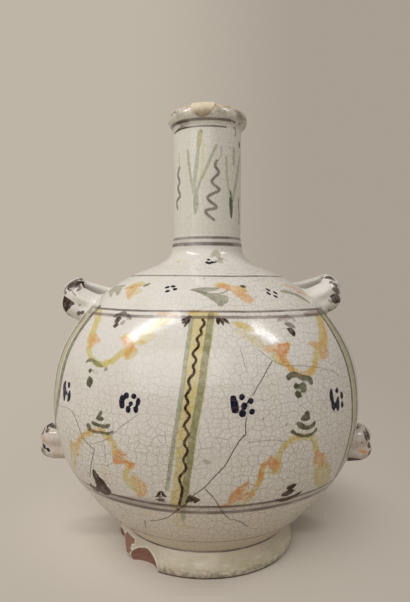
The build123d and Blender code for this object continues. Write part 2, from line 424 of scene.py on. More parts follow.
    # Pinholes
    holes = nodes.named("ShaderNodeTexVoronoi", {"Vector": nodes.place, "Scale": 75.0})
    hole = 1.0 - step(holes.outputs["Distance"], 0.022, 0.040)
    hole = hole * spots(0.46, 0.52, 22.0, 2.0, 0.5, 17.0)
    colour = blend(hole * 0.75, colour, (0.060, 0.040, 0.025))

    # Long cracks
    crack = None
    for name, share in (("crack_a", 1.0), ("crack_b", 0.90), ("crack_c", 0.42)):
        away = nodes.math("ABSOLUTE", attribute(name) + waver * 0.8)
        one = (1.0 - step(away, 0.10, 0.52)) * (attribute(name + "_near") * share)
        crack = one if crack is None else nodes.math("MAXIMUM", crack, one)
    colour = blend(crack * 0.90, colour, (0.050, 0.032, 0.020))

    # Bare clay in the chips and under the foot
    bare = attribute("bare")
    grain = nodes.noise(900.0, 4.0, 0.7, 9.0)
    colour = blend(attribute("broken_edge") * 0.9, colour, (0.66, 0.61, 0.52))
    colour = blend(bare, colour, blend(grain, colours.clay, (0.230, 0.110, 0.078)))

    sheen = nodes.noise(90.0, 4.0, 0.6, 10.0) * 0.18 + 0.07 + bare * 0.60 + worn * 0.15
    lumps = (1.0 - step(level, 13.0, 17.0)) * nodes.noise(150.0, 4.0, 0.6, 19.0)
    height = nodes.noise(55.0, 3.0, 0.5, 11.0) - spots(0.70, 0.80, 800.0, 2.0, 0.5, 12.0) * 0.20 + lumps * 4.5
    height = height - craze * 0.12 - crack * 0.5 - hole * 0.8 - rubbed * worn * 1.2 + grain * bare * 1.5
    nodes.surface(colour, sheen, height, 0.55, 0.35, **{"IOR": 1.42, "Specular IOR Level": 0.5 - dull * 0.36})
    return material


def plaster_material(colours):
    """Matte plaster with dark specks and grey grime."""
    material, nodes = new_material("old_plaster")
    grime = nodes.spots(0.40, 0.75, 180.0, 5.0, 0.65, 1.0)
    low = 1.0 - nodes.step(nodes.separated(nodes.place)[2], rim_level * MM - 0.0085, rim_level * MM - 0.0010)
    colour = colours.plaster
    for share, tint in (
        (grime * 0.45, (0.36, 0.29, 0.19)),
        (low * (nodes.spots(0.30, 0.58, 200.0, 4.0, 0.65, 4.0) * 0.6 + 0.25), (0.27, 0.20, 0.13)),
        (nodes.spots(0.64, 0.70, 520.0, 2.0, 0.5, 2.0), (0.10, 0.07, 0.05)),
    ):
        colour = nodes.blend(share, colour, tint)
    nodes.surface(colour, grime * 0.2 + 0.65, nodes.noise(420.0, 5.0, 0.65, 3.0), 0.6, 0.4)
    return material


def material_named(name, make, *arguments):
    """The named material, made on its first use."""
    return bpy.data.materials.get(name) or make(*arguments)


# Thrown forms


def thrown_form_tree():
    """A geometry nodes tree that turns a profile of radius and height round the axis.

    Each profile point carries a free share: how far throwing rings and unevenness may move it.
    """
    tree = bpy.data.node_groups.new("thrown_form", "GeometryNodeTree")
    for name, kind in (
        ("Profile", "Geometry"), ("Segments", "Int"), ("Ring Depth", "Float"), ("Ring Spacing", "Float"),
        ("Unevenness", "Float"), ("Seed", "Float"), ("Material", "Material"),
    ):
        tree.interface.new_socket(name, in_out="INPUT", socket_type="NodeSocket" + kind)
    tree.interface.new_socket("Form", in_out="OUTPUT", socket_type="NodeSocketGeometry")
    nodes = Nodes(tree)
    given = {socket.name: Value(nodes, socket) for socket in nodes.add("NodeGroupInput").outputs}
    profile, seed = given["Profile"], given["Seed"]
    count = Value(nodes, nodes.add("GeometryNodeAttributeDomainSize", profile).outputs["Point Count"])
    grid = nodes.add("GeometryNodeMeshGrid", 1.0, 1.0, given["Segments"] + 1.0, count).outputs["Mesh"]
    position = nodes.add("GeometryNodeInputPosition").outputs[0]
    across_grid, up_grid, _ = nodes.separated(position)
    turn = across_grid * (2 * pi)
    index = nodes.math("ROUND", (up_grid + 0.5) * (count - 1.0))

    def sampled(kind, value):
        """The profile's value at this row of the grid."""
        inputs = {"Geometry": profile, "Value": value, "Index": index}
        return nodes.named("GeometryNodeSampleIndex", inputs, data_type=kind, clamp=True).outputs["Value"]

    radius, _, height = nodes.separated(sampled("FLOAT_VECTOR", position))
    free = nodes.add("GeometryNodeInputNamedAttribute", "free", data_type="FLOAT").outputs["Attribute"]
    free = Value(nodes, sampled("FLOAT", free))
    across, back = nodes.math("SINE", turn), nodes.math("COSINE", turn) * -1.0
    wander = nodes.noise(1.1, 2.0, 0.5, seed, nodes.combined(across, back, height * 12.0)) - 0.5
    climb = nodes.combined(nodes.math("DIVIDE", height, given["Ring Spacing"]), turn * 0.16, 0.0)
    rings = nodes.noise(1.0, 1.0, 0.5, seed, climb) - 0.5
    move = wander * given["Unevenness"] + rings * (given["Ring Depth"] * 2.0)
    flat = nodes.named(
        "ShaderNodeVectorMath", {"Vector": nodes.combined(across, back, 0.0), "Scale": radius + move * free},
        operation="SCALE",
    ).outputs[0]
    place = nodes.vector("ADD", flat, nodes.combined(0.0, 0.0, height))
    form = nodes.named("GeometryNodeSetPosition", {"Geometry": grid, "Position": place}).outputs[0]
    form = nodes.named("GeometryNodeMergeByDistance", {"Geometry": form, "Distance": 0.002 * MM}).outputs[0]
    form = nodes.named("GeometryNodeSetShadeSmooth", {"Geometry": form}).outputs[0]
    form = nodes.add("GeometryNodeRealizeInstances", form).outputs[0]
    form = nodes.named("GeometryNodeSetMaterial", {"Geometry": form, "Material": given["Material"]}).outputs[0]
    nodes.add("NodeGroupOutput", form)
    return tree


def set_input(modifier, name, value):
    """Sets a geometry nodes input by its socket's identifier."""
    for item in modifier.node_group.interface.items_tree:
        if item.item_type == "SOCKET" and item.in_out == "INPUT" and item.name == name:
            modifier[item.identifier] = value
            return
    raise KeyError(name)


def placed(name, data):
    """A new object of the data, in the scene."""
    piece = bpy.data.objects.new(name, data)
    bpy.context.collection.objects.link(piece)
    return piece


def evaluated_mesh(piece):
    """A new plain mesh of the piece with its modifiers applied."""
    return bpy.data.meshes.new_from_object(piece.evaluated_get(bpy.context.evaluated_depsgraph_get()))


@contextmanager
def edited(mesh):
    """The mesh opened for editing, and written back afterwards."""
    shape = bmesh.new()
    shape.from_mesh(mesh)
    yield shape
    shape.to_mesh(mesh)
    shape.free()


def split_large(shape):
    """Splits faces with more than four corners into triangles."""
    bmesh.ops.triangulate(shape, faces=[face for face in shape.faces if len(face.verts) > 4])


def mark_corners(shape, sharp=35.0):
    """Smooths the faces, but for corners sharper than an angle in degrees."""
    for face in shape.faces:
        face.smooth = True
    for edge in shape.edges:
        edge.smooth = len(edge.link_faces) != 2 or edge.calc_face_angle(0.0) < radians(sharp)


def finished(mesh, name, sharp=35.0):
    """An object of the mesh with its faces outwards and its corners sharp."""
    with edited(mesh) as shape:
        bmesh.ops.dissolve_degenerate(shape, dist=1e-7, edges=shape.edges)
        bmesh.ops.recalc_face_normals(shape, faces=shape.faces)
        mark_corners(shape, sharp)
    mesh.name = name
    return placed(name, mesh)


def thrown(name, line, free, segments, material, sizes, seed, depth=1.0, ring_spacing=3.4):
    """A piece turned from a line of radius and height in millimetres, with a free share for each place."""
    mesh = bpy.data.meshes.new(name + "_profile")
    points = [(radius * MM, 0, height * MM) for radius, height in line]
    mesh.from_pydata(points, [(i, i + 1) for i in range(len(points) - 1)], [])
    store(mesh, "free", free)
    holder = placed(name + "_profile", mesh)
    modifier = holder.modifiers.new("thrown", "NODES")
    modifier.node_group = bpy.data.node_groups.get("thrown_form") or thrown_form_tree()
    for label, value in (
        ("Segments", segments), ("Ring Depth", sizes.ring_depth * depth), ("Ring Spacing", ring_spacing * MM),
        ("Unevenness", sizes.unevenness), ("Seed", seed), ("Material", material),
    ):
        set_input(modifier, label, value)
    form = evaluated_mesh(holder)
    bpy.data.objects.remove(holder)
    return finished(form, name)


def easing(count, near=6):
    """Free shares that fade to nothing at both ends."""
    steps = np.minimum(np.arange(count), np.arange(count)[::-1]) / near
    return np.clip(steps, 0, 1)


def wall_inside(line, wall, steps=9):
    """The inside of a wall along its outside, from its end back to its start."""
    along = evenly(line, 1.0)
    slope = np.gradient(along, axis=0)
    slope /= np.linalg.norm(slope, axis=1)[:, None]
    inner = along + np.column_stack([-slope[:, 1], slope[:, 0]]) * wall
    picked = np.linspace(0, len(inner) - 1, steps).round().astype(int)
    return inner[picked][::-1]


# Paint

YELLOW, ORANGE, GREEN, BROWN, BLUE = paints = ("yellow", "orange", "green", "manganese", "blue")


def brush(shape):
    """A way to write strokes of one shape: the paint, its width and strength, and turns and heights."""

    def stroke(paint, width, power, *marks):
        return paint, width, power, shape, np.reshape(marks, (-1, 2)).astype(float)

    return stroke


# Strokes of an even width, pointed at both ends, and wide at the start
even, leaf, dab = brush("even"), brush("leaf"), brush("dab")


def vertices_of(mesh):
    """The mesh's vertices as an array, in millimetres."""
    places = np.empty(len(mesh.vertices) * 3, np.float32)
    mesh.vertices.foreach_get("co", places)
    return places.reshape(-1, 3).astype(float) / MM


def store(mesh, name, values, domain="POINT"):
    """Writes one number for each vertex, or for each face."""
    layer = mesh.attributes.get(name) or mesh.attributes.new(name, "FLOAT", domain)
    layer.data.foreach_set("value", np.asarray(values, np.float32))


def on_flask(marks):
    """Places on the flask's outside for (turn, height) marks, in millimetres."""
    radius = radius_at(marks[:, 1])
    turn = np.radians(marks[:, 0])
    return np.column_stack([radius * np.sin(turn), -radius * np.cos(turn), marks[:, 1]])


def on_loop(marks):
    """Places for marks across and up, laid on a loop from front and back alike."""
    return np.column_stack([marks[:, 0], np.zeros(len(marks)), marks[:, 1]])


def brushed(marks):
    """The marks of a stroke joined by a smooth line, closely enough to lie on the surface."""
    if len(marks) == 1:
        return np.concatenate([marks, marks + (0.01, 0.0)])
    if len(marks) == 2:
        steps = np.linspace(0, 1, 12)[:, None]
        return marks[0] * (1 - steps) + marks[1] * steps
    return flowing(marks, steps=12 * len(marks))


def close_to(places, line, reach):
    """Indices of the places within a reach of the line's box."""
    low, high = line.min(axis=0) - reach, line.max(axis=0) + reach
    return np.nonzero(np.all((places > low) & (places < high), axis=1))[0]


def nearest(places, line):
    """Distance from each place to a line, the share along it and its side."""
    best = np.full(len(places), 1e9)
    along = np.zeros(len(places))
    side = np.zeros(len(places))
    before = run_along(line)
    total = before[-1] or 1.0
    for i, (first, last) in enumerate(zip(line[:-1], line[1:])):
        run = last - first
        share = np.clip((places - first) @ run / max(run @ run, 1e-12), 0, 1)
        gap = places - first - share[:, None] * run
        distance = np.linalg.norm(gap, axis=1)
        closer = distance < best
        best[closer] = distance[closer]
        along[closer] = (before[i] + share[closer] * np.linalg.norm(run)) / total
        outward = (first + run / 2) * (1, 1, 0)
        side[closer] = np.sign(gap[closer] @ np.cross(outward, run))
    return best, along, side


def with_back(strokes):
    """The front's strokes and the same ones at the back, each laid a little apart from its fellow."""
    random = np.random.default_rng(11)
    both = list(strokes)
    for paint, width, power, shape, marks in strokes:
        shift = random.uniform(-0.7, 0.7, 2)
        both.append((paint, width, power, shape, marks + (180.0 + shift[0], shift[1])))
    return both


def lay_strokes(mesh, strokes, project=on_flask):
    """Writes how deep each vertex lies in the strokes of each paint, and how strong the paint is there."""
    places = vertices_of(mesh)
    if project is on_loop:
        places[:, 1] = 0
    else:
        strokes = with_back(strokes)
    depths = {paint: np.zeros(len(places)) for paint in paints}
    strengths = {paint: np.zeros(len(places)) for paint in paints}
    for paint, width, power, shape, marks in strokes:
        line = project(brushed(marks))
        near = close_to(places, line, width + 2)
        if not len(near):
            continue
        distance, along, _ = nearest(places[near], line)
        half = width / 2
        if shape == "leaf":
            half = half * (0.30 + 0.70 * np.sin(pi * np.clip(along, 0.0, 1.0)) ** 0.7)
        elif shape == "dab":
            half = half * (1.0 - 0.80 * along)
        inside = np.clip(half - distance + 2.0, 0, 4)
        deeper = inside > depths[paint][near]
        depths[paint][near[deeper]] = inside[deeper]
        strengths[paint][near[deeper]] = power
    for paint in paints:
        store(mesh, paint, depths[paint])
        store(mesh, paint + "_strength", strengths[paint])


def lay_cracks(mesh, reach=4.0):
    """Writes how far each vertex lies to one side of each crack."""
    places = vertices_of(mesh)
    for name, lines in cracks.items():
        offset = np.full(len(places), 9.0)
        near_share = np.zeros(len(places))
        for marks in lines:
            line = on_flask(np.reshape(marks, (-1, 2)))
            near = close_to(places, line, reach)
            if not len(near):
                continue
            distance, along, side = nearest(places[near], line)
            ends = np.minimum(along, 1 - along)
            fade = np.clip(ends / 0.015, 0, 1) * np.clip((reach - distance) / 2, 0, 1)
            closer = distance < np.abs(offset[near])
            offset[near[closer]] = (distance * side)[closer]
            near_share[near[closer]] = fade[closer]
        store(mesh, name, offset)
        store(mesh, name + "_near", near_share)


# Height, half width, strength, and how far to the right the line runs at the front, if it ends
band_lines = (
    (286.0, 0.90, 0.75, 15.0),
    (281.9, 0.65, 0.80, 12.0),
    (209.4, 1.00, 0.80, None),
    (205.2, 1.40, 0.85, None),
    (207.4, 1.90, 0.22, None),
    (183.7, 0.50, 0.80, None),
    (163.3, 0.65, 0.80, None),
    (160.2, 0.95, 0.70, None),
    (59.2, 0.90, 0.88, None),
    (55.0, 1.30, 0.80, None),
    (57.1, 3.20, 0.30, None),
    (28.3, 0.50, 0.60, None),
    (15.5, 0.70, 0.90, None),
)

strokes = (
    # Neck
    even(GREEN, 1.9, 0.5, -34.5, 266.8, -30, 253.1, -24.9, 242.2, -20.9, 235),
    leaf(GREEN, 3.1, 0.5, -14, 271.7, -17.5, 259.8, -21.1, 245.7, -21.9, 237.9),
    even(GREEN, 2.2, 0.5, 14.2, 269.6, 4.5, 261, -4.9, 251.8, -15.5, 242, -18.2, 236.4),
    leaf(GREEN, 3.9, 0.55, -20.1, 242.1, -19.1, 235, -19.9, 225),
    leaf(GREEN, 1.8, 0.75, -16.3, 234.2, -16.8, 229.3),
    even(GREEN, 1.4, 0.18, -22.7, 225.8, -28.7, 223.8, -34.9, 221.8),
    even(GREEN, 2.1, 0.42, 31.7, 262.5, 34.1, 249.8, 41.4, 235.8),
    even(GREEN, 2.9, 0.5, 70.1, 265.4, 55.3, 247.4, 46.6, 235.3),
    even(GREEN, 2.4, 0.5, 48.4, 269.3, 48.7, 259.3),
    leaf(GREEN, 3.6, 0.95, 41.2, 240.9, 42.7, 232.3, 43.4, 222.9),
    even(GREEN, 3.4, 0.4, -12, 277.6, -13.3, 274.5, -14.4, 270.3),
    even(YELLOW, 3.8, 0.55, -11.6, 278, -13, 274.5, -14, 270.3),
    even(YELLOW, 3, 0.42, -7.4, 270.2, -8, 259.6, -9.8, 249.4), even(BROWN, 1.7, 0.6, -10.2, 278.9),
    even(BROWN, 1.1, 0.35, 22.5, 269.2, 22.1, 263.5, 15.6, 259.8),
    even(BROWN, 2, 0.72, 15.6, 259.8, 12.2, 256.5, 18.3, 252.8, 7, 246.2, 19.6, 241.1, 0.2, 235.2, 15.2, 229.3,
        -2.8, 226.7, 10.8, 220.9),
    even(BROWN, 1.2, 0.3, -55.1, 266.1, -53.6, 256.5),
    even(BROWN, 2.3, 0.7, -53.6, 256.5, -58.4, 251.8, -53.2, 247.1, -57.9, 243.7, -51.5, 238.3, -62.4, 233.7,
        -59.5, 229.6),
    even(BROWN, 2, 0.6, 67.6, 237.2, 65.7, 232.7, 68.8, 227.7, 67.5, 220.2),
    leaf(BROWN, 1.9, 0.7, -57.1, 286.1, -43.6, 285.9, -29.3, 285.5),
    leaf(BROWN, 2, 0.45, -54.7, 285, -42.1, 284.4, -30.7, 284.3),
    even(BROWN, 1.9, 0.75, -46.3, 284.7, -44.8, 282.9),
    leaf(BROWN, 2.1, 0.75, -74.7, 281.2, -60.5, 282.1, -46.7, 282.5, -33.2, 282.1),
    leaf(BROWN, 1.9, 0.7, -65.7, 291.7, -58.6, 293.3, -50.2, 292.3),
    leaf(BROWN, 1.3, 0.8, 35.8, 286.6, 40.9, 286.4, 47.2, 286), even(BROWN, 1.9, 0.7, 58, 286.3),
    leaf(BROWN, 1.4, 0.8, 46.4, 283.2, 52.5, 283), even(BROWN, 1.2, 0.6, 53.2, 282.4, 53.5, 279.9, 51.1, 278.2),
    leaf(BROWN, 2.6, 0.95, 65.6, 275.3, 67.3, 273.5, 65.2, 271.1), even(BROWN, 0.8, 0.75, 60.9, 276.1),
    even(BROWN, 1.4, 0.55, 39.4, 269.3), even(BROWN, 1, 0.5, 38.1, 272.3),
    # Shoulder
    leaf(ORANGE, 3.1, 0.5, -41.1, 192.3, -38.5, 193.1, -33.4, 193.7), even(BROWN, 1.7, 0.45, -35.6, 192.9),
    leaf(ORANGE, 5.4, 0.14, -32.9, 193.1, -20.8, 192.5), even(BLUE, 2, 0.9, 1.7, 194.4),
    even(BLUE, 2.8, 0.9, 0.2, 192.4), even(BLUE, 2.8, 0.9, 2.2, 191.9), even(BLUE, 2.8, 0.9, 5.6, 192.6),
    even(BLUE, 1.7, 0.8, 5.5, 192.5, 9.5, 192.8), leaf(GREEN, 3.3, 0.55, 5.2, 196.4, 9.3, 198.1, 14.2, 199.9),
    leaf(GREEN, 4.5, 0.5, 8.2, 197.1, 14.6, 198.6, 15.6, 195.5),
    leaf(GREEN, 4.8, 0.5, 9.9, 193, 14.4, 193.2, 17.3, 192.1), even(GREEN, 2.2, 0.6, 16.2, 195.1, 19.1, 194.7),
    even(BROWN, 0.9, 0.6, 16.4, 195.5, 21.7, 194.9, 26.2, 193.9),
    dab(GREEN, 7.8, 0.6, -70.9, 175.4, -62.6, 173.1, -57.2, 170.4),
    leaf(GREEN, 5, 0.6, -74.2, 175.7, -61.5, 176.3, -55.3, 177.3),
    leaf(GREEN, 5.3, 0.6, -67.6, 175.4, -54.8, 173.7, -51.7, 171.7),
    leaf(YELLOW, 7.2, 0.75, -50.4, 175.7, -46, 177.8, -38.8, 178.6),
    leaf(ORANGE, 6, 0.6, -50.7, 175.8, -45.5, 176.8, -39.7, 177.9),
    dab(ORANGE, 9.6, 0.6, -44.7, 175.7, -42.3, 172.8, -39, 169),
    leaf(YELLOW, 5.7, 0.6, -44.6, 175, -39.3, 174, -35.5, 173.3),
    leaf(BROWN, 1.6, 0.35, -47.6, 176.4, -44.3, 176.1),
    leaf(GREEN, 3.4, 0.85, -38.2, 177.4, -36.4, 177.9, -34.6, 178.9),
    even(BLUE, 2, 0.95, -21.8, 176.6, -21.2, 176.8), even(BLUE, 2, 0.95, -18.8, 177.3, -18.1, 177.2),
    even(BLUE, 2, 0.95, -16.9, 175.7, -16.3, 175.6), even(BLUE, 2, 0.95, -20.5, 174.4, -19.9, 174.5),
    leaf(GREEN, 4, 0.62, -7.6, 175.6, -1.3, 175.3, 6.8, 176.6),
    leaf(GREEN, 4.4, 0.66, -7.4, 175.4, -1.2, 175.6, 5.2, 175.9),
    dab(GREEN, 5.6, 0.66, 7.2, 169.4, 3.4, 170.9, -1.1, 173.1, -7.3, 175.3),
    dab(GREEN, 3.5, 0.66, 6, 167.3, 2.8, 170.2, -2.3, 173.4, -8, 175.4),
    dab(GREEN, 4, 0.62, 8.4, 171, 5.2, 172, 1.2, 172.7, -3.5, 174.1),
    even(BROWN, 1.1, 0.62, -8, 175.4, -1.7, 173.8, 3, 173.3, 6.9, 173.5, 10.5, 175.3),
    leaf(YELLOW, 5.1, 0.6, 4, 178.3, 7.5, 178.5, 12.2, 178.2),
    leaf(ORANGE, 5.5, 0.72, 5.4, 177.7, 9.3, 177.6, 12.8, 175.9),
    leaf(ORANGE, 4.1, 0.8, 9.5, 175.9, 12.1, 175.9, 14.3, 174.8),
    dab(ORANGE, 8.4, 0.72, 18.7, 170.7, 15.5, 173.1, 11.6, 176.2),
    leaf(ORANGE, 6.8, 0.6, 11.6, 176.2, 16.7, 175.9, 19.5, 174.5),
    leaf(YELLOW, 6.4, 0.6, 15.5, 176.2, 18.2, 175.5, 19.9, 174.8),
    leaf(ORANGE, 4.2, 0.6, 19.5, 173.5, 19.7, 171.4, 18.9, 169.4),
    leaf(GREEN, 3.3, 0.95, 18.3, 177.9, 19.8, 177.5, 21.2, 177.2),
    leaf(BROWN, 1.1, 0.6, 9.6, 174.8, 10.8, 175.5), even(BLUE, 1.9, 0.95, 33.5, 175.8, 34.1, 175.2),
    even(BLUE, 1.9, 0.95, 32, 173.7, 32.6, 173.1), even(BLUE, 1.9, 0.95, 36.7, 174, 37.3, 173.4),
    even(BLUE, 1.8, 0.95, 35, 171.8, 35.5, 171.3), leaf(GREEN, 4.3, 0.68, 42, 174.4, 48, 174, 52.8, 172.4),
    leaf(GREEN, 5, 0.68, 49.4, 173.8, 54.7, 171.1, 59.3, 167),
    leaf(ORANGE, 4.3, 0.55, 52.1, 178.3, 59.6, 176.7, 65, 174.1),
    leaf(ORANGE, 5, 0.6, 60.3, 175.2, 65.7, 172.8, 72.6, 169.3),
    leaf(ORANGE, 2.6, 0.8, 56.3, 173.9, 63.3, 173.2), even(BROWN, 1.9, 0.5, -1.9, 182),
    # Front band
    even(YELLOW, 8.4, 0.8, -2.7, 160.2, -2.9, 152.8, -3.6, 140.6, -4.4, 126.1, -5.5, 110.6),
    even(YELLOW, 7.2, 0.8, -5.5, 110.8, -6.4, 100.1, -7.2, 85.6, -8.2, 72.7, -9.7, 58.2),
    leaf(YELLOW, 3.9, 0.4, -8.7, 61.1, -9.4, 53.8, -10.2, 47),
    even(YELLOW, 4, 0.85, -6.2, 162.4, -2, 162.5, 3.3, 161.9),
    even(ORANGE, 2.2, 0.3, -5.7, 163, -1.6, 163.2, 2.9, 162.7),
    even(ORANGE, 2.1, 0.1, -2.5, 156.5, -2.8, 146.7, -3.7, 134.6, -4.4, 123.7, -5.1, 108.9),
    even(GREEN, 2.6, 0.58, -5.9, 159.6, -6.1, 152.7, -6.5, 142.9, -6.9, 132.1, -7.5, 120.5, -8.25, 110.6),
    even(GREEN, 2.5, 0.58, -8.25, 110.8, -9.1, 100.5, -10.1, 89.3, -11.1, 78.9, -12.3, 70),
    even(YELLOW, 4.6, 0.66, 1.5, 161.6, 0.7, 152.8, -0.5, 140.6, -1.4, 128.6, -2.2, 118.4, -3, 110.6),
    even(YELLOW, 4.4, 0.66, -3, 110.8, -3.9, 100.9, -4.9, 87.1, -6, 74.5, -7.2, 60.5),
    even(GREEN, 4, 0.66, 1.5, 161.6, 0.7, 152.8, -0.5, 140.6, -1.4, 128.6, -2.2, 118.4, -3, 110.6),
    even(GREEN, 3.9, 0.66, -3, 110.8, -3.9, 100.9, -4.9, 87.1, -6, 74.5, -7.2, 60.5),
    leaf(GREEN, 3, 0.5, -7.2, 60.5, -7.9, 53.2, -8.6, 47.3),
    even(BROWN, 1.6, 1, -1.7, 159.3, -1.1, 156.5, -2.3, 154.3, -1.9, 152.2, -3.4, 149.7, -2.9, 147.3, -3, 145.1,
        -4.5, 142.1, -3.4, 138.8, -4.2, 135.8, -3.8, 132.8, -5.5, 128.5, -4.9, 124.6, -6.1, 120.6, -5.4, 117.6,
        -6.2, 114.8, -4.9, 110.8, -6.4, 106, -5.2, 101.3, -6.4, 96.8, -5.4, 92.3, -6.7, 87.7, -5.9, 83.4, -8.1,
        77.1, -7.5, 72.5, -7.8, 66.2, -9.5, 56.1),
    leaf(BROWN, 2.1, 1, -9.8, 158.6, -8.3, 159.5, -6.2, 160.6), leaf(BROWN, 1.9, 1, -9.4, 157.2, -7.6, 158.2),
    leaf(BROWN, 1.9, 1, -8.3, 155.4, -7.2, 158, -6.5, 159.7), leaf(BROWN, 2, 1, -5.9, 160.5, -7.7, 160.7),
    leaf(BROWN, 1.8, 1, 3.7, 160.2, 4, 158.3, 4.2, 156.4),
    leaf(BROWN, 1.8, 1, 4.6, 160.3, 5.4, 158.5, 6.2, 156),
    leaf(BROWN, 1.9, 1, 5.8, 160.2, 7.2, 158.7, 8.4, 156.8), leaf(BROWN, 1.7, 0.95, 3.5, 159.7, 5.2, 159),
    leaf(BROWN, 1.8, 1, -16.6, 63.9, -15.4, 65.3, -14.5, 67.6, -13.7, 68.1),
    leaf(BROWN, 2, 1, -13.8, 67.5, -13.5, 65.7, -12.6, 64.8),
    leaf(BROWN, 2.6, 1, -16.2, 62.5, -15.1, 62.3, -13.5, 63), leaf(BROWN, 1.4, 0.9, -15.2, 64.8, -14.2, 64.6),
    even(BROWN, 1.4, 0.6, -13.6, 62, -13.6, 60.4), leaf(BROWN, 2.8, 1, -6.5, 61.8, -5.3, 64.6, -4.8, 67.1),
    leaf(BROWN, 2.3, 1, -4.9, 62.5, -4.3, 64.9, -3.9, 66.2),
    leaf(BROWN, 2.3, 1, -3.6, 61.7, -3.3, 64.2, -3.3, 65.9), leaf(BROWN, 2.6, 1, -3.1, 64.4, -2.2, 63.4),
    # Left upper swag
    even(YELLOW, 6.2, 0.85, -55.9, 161.3, -51.6, 157.3, -49.5, 152.5, -48.1, 147.8, -47.1, 145.2),
    even(ORANGE, 3.1, 0.3, -49.7, 155.3, -48.6, 150.9, -47.3, 147.2),
    leaf(ORANGE, 7.2, 0.68, -48.9, 148.4, -45.6, 145.4, -46, 141.5),
    leaf(ORANGE, 4.6, 0.7, -47.2, 144.1, -44.3, 145.2, -41.3, 146),
    leaf(ORANGE, 1.8, 0.95, -46.7, 145.2, -43.8, 145.7),
    leaf(YELLOW, 4.6, 0.75, -48, 143.7, -46.7, 141.8, -43.6, 137.5),
    even(YELLOW, 3.5, 0.82, -45.9, 141.9, -43.9, 138.1, -41.7, 135.5, -38.3, 133.4),
    leaf(GREEN, 2.6, 0.8, -44.7, 133.2, -43.4, 134.7, -40.7, 135.3),
    leaf(GREEN, 2.9, 0.72, -41.7, 135.5, -39.3, 133.9, -35.6, 132.5),
    even(YELLOW, 3.7, 0.92, -39.1, 133.6, -36.1, 133.8, -33.4, 135.4, -31.1, 137.6, -29.5, 140.4, -28.1, 142.1),
    leaf(YELLOW, 5.8, 0.85, -30, 139.4, -27.5, 141.5, -25.7, 144.2),
    leaf(YELLOW, 4.3, 0.8, -27.2, 137.8, -25.1, 140.2, -23.5, 142.9),
    leaf(ORANGE, 6.2, 0.72, -30.1, 149, -27.5, 144.1, -26.6, 138.2),
    leaf(ORANGE, 4.6, 0.7, -32.1, 148.3, -28.9, 147.3, -25.5, 143.6),
    leaf(ORANGE, 3.5, 0.7, -27.9, 143.4, -25.5, 143.3, -23.7, 142.8),
    leaf(ORANGE, 2.2, 1, -28.6, 144, -27, 142.2, -26.2, 142),
    leaf(YELLOW, 3.7, 0.8, -32.2, 148.8, -30.2, 149.3, -28, 149.1),
    leaf(YELLOW, 4.2, 0.65, -25.1, 146.2, -22.6, 146.7, -21.2, 148.7),
    leaf(ORANGE, 2.7, 0.6, -24.5, 147.5, -22.4, 146.7, -21.6, 146.5),
    leaf(YELLOW, 6.9, 0.5, -24, 147.5, -22.1, 151.4, -19.7, 155.7),
    leaf(YELLOW, 5.7, 0.5, -21.7, 147.7, -20.4, 149.3, -18.6, 150.4),
    leaf(YELLOW, 6.1, 0.66, -21.5, 153.7, -18.5, 156.7, -14.9, 160),
    leaf(ORANGE, 6.6, 0.6, -18.1, 158, -16.2, 159.3, -14.4, 161),
    even(ORANGE, 3.5, 0.65, -19.2, 161.7, -16.3, 161.5, -12.1, 160.8),
    even(GREEN, 2, 0.35, -16.7, 161.1, -11.9, 161.4),
    leaf(BROWN, 3, 0.8, -41.6, 159.1, -40.5, 160, -39.2, 160.9),
    leaf(BROWN, 3.4, 0.85, -39.2, 160.9, -37.1, 161.4, -35.1, 161),
    leaf(BROWN, 2.1, 0.72, -36.1, 161.4, -33.3, 160.2, -31.1, 158.3),
    leaf(BROWN, 5.6, 0.95, -38.6, 156.7, -37.8, 157.7, -36.7, 158.2),
    leaf(BROWN, 3.3, 0.55, -35.3, 155.8, -34.4, 156.5, -34.5, 157.5),
    leaf(BROWN, 4, 0.88, -38.4, 154.5, -37.2, 154.8, -36.3, 155),
    leaf(BROWN, 2.3, 0.5, -33.6, 159.2, -31.7, 158.6), even(GREEN, 3, 0.98, -41.2, 129.3),
    leaf(GREEN, 1.7, 0.5, -41, 129.6, -39.1, 129.6), even(GREEN, 2.6, 0.7, -34, 131.4),
    leaf(GREEN, 1.4, 0.4, -35.6, 132.5, -32.9, 130.5),
    leaf(GREEN, 2.9, 0.2, -39.4, 129.5, -37.4, 128.3, -37.2, 127.3),
    leaf(GREEN, 5.7, 0.98, -40.9, 125.9, -40.4, 123.7, -39.7, 120.8), even(BLUE, 3.1, 1, -24.7, 119),
    even(BLUE, 2.9, 1, -22.2, 119.1), even(BLUE, 2.3, 1, -23, 115.1),
    even(BLUE, 3.1, 1, -26.1, 117.4, -26.2, 115.5, -26, 113.6),
    leaf(BLUE, 2.5, 1, -20.6, 118.4, -20.6, 116.4, -20.8, 114.3),
    even(BLUE, 2.8, 1, -23.8, 112.3, -23.8, 111.5), even(BLUE, 2.7, 1, -21.2, 112.9, -21.2, 112),
    even(BROWN, 0.8, 0.6, -17.7, 118.9), leaf(BLUE, 3.6, 0.92, -55.3, 119.8, -56.1, 117.4, -56.7, 115.4),
    leaf(BLUE, 3.4, 0.92, -53.1, 119.6, -52.3, 118.5, -52, 117.3),
    leaf(BLUE, 2.5, 0.92, -55.4, 115.8, -54.1, 115.4),
    leaf(BLUE, 3.6, 0.92, -56.2, 114.4, -55.3, 111.8, -55.2, 108.9),
    leaf(BLUE, 3.8, 0.92, -51.1, 115.4, -51.3, 112.3, -52, 109.4),
    leaf(BLUE, 2.4, 0.92, -54, 114.4, -53, 112.9),
    # Left lower swag
    even(GREEN, 2.5, 1, -33.9, 108), even(GREEN, 2.5, 1, -34.5, 106.8, -34.8, 105.4),
    leaf(GREEN, 2.8, 1, -36, 104.5, -34.2, 104.7, -32.6, 104.9),
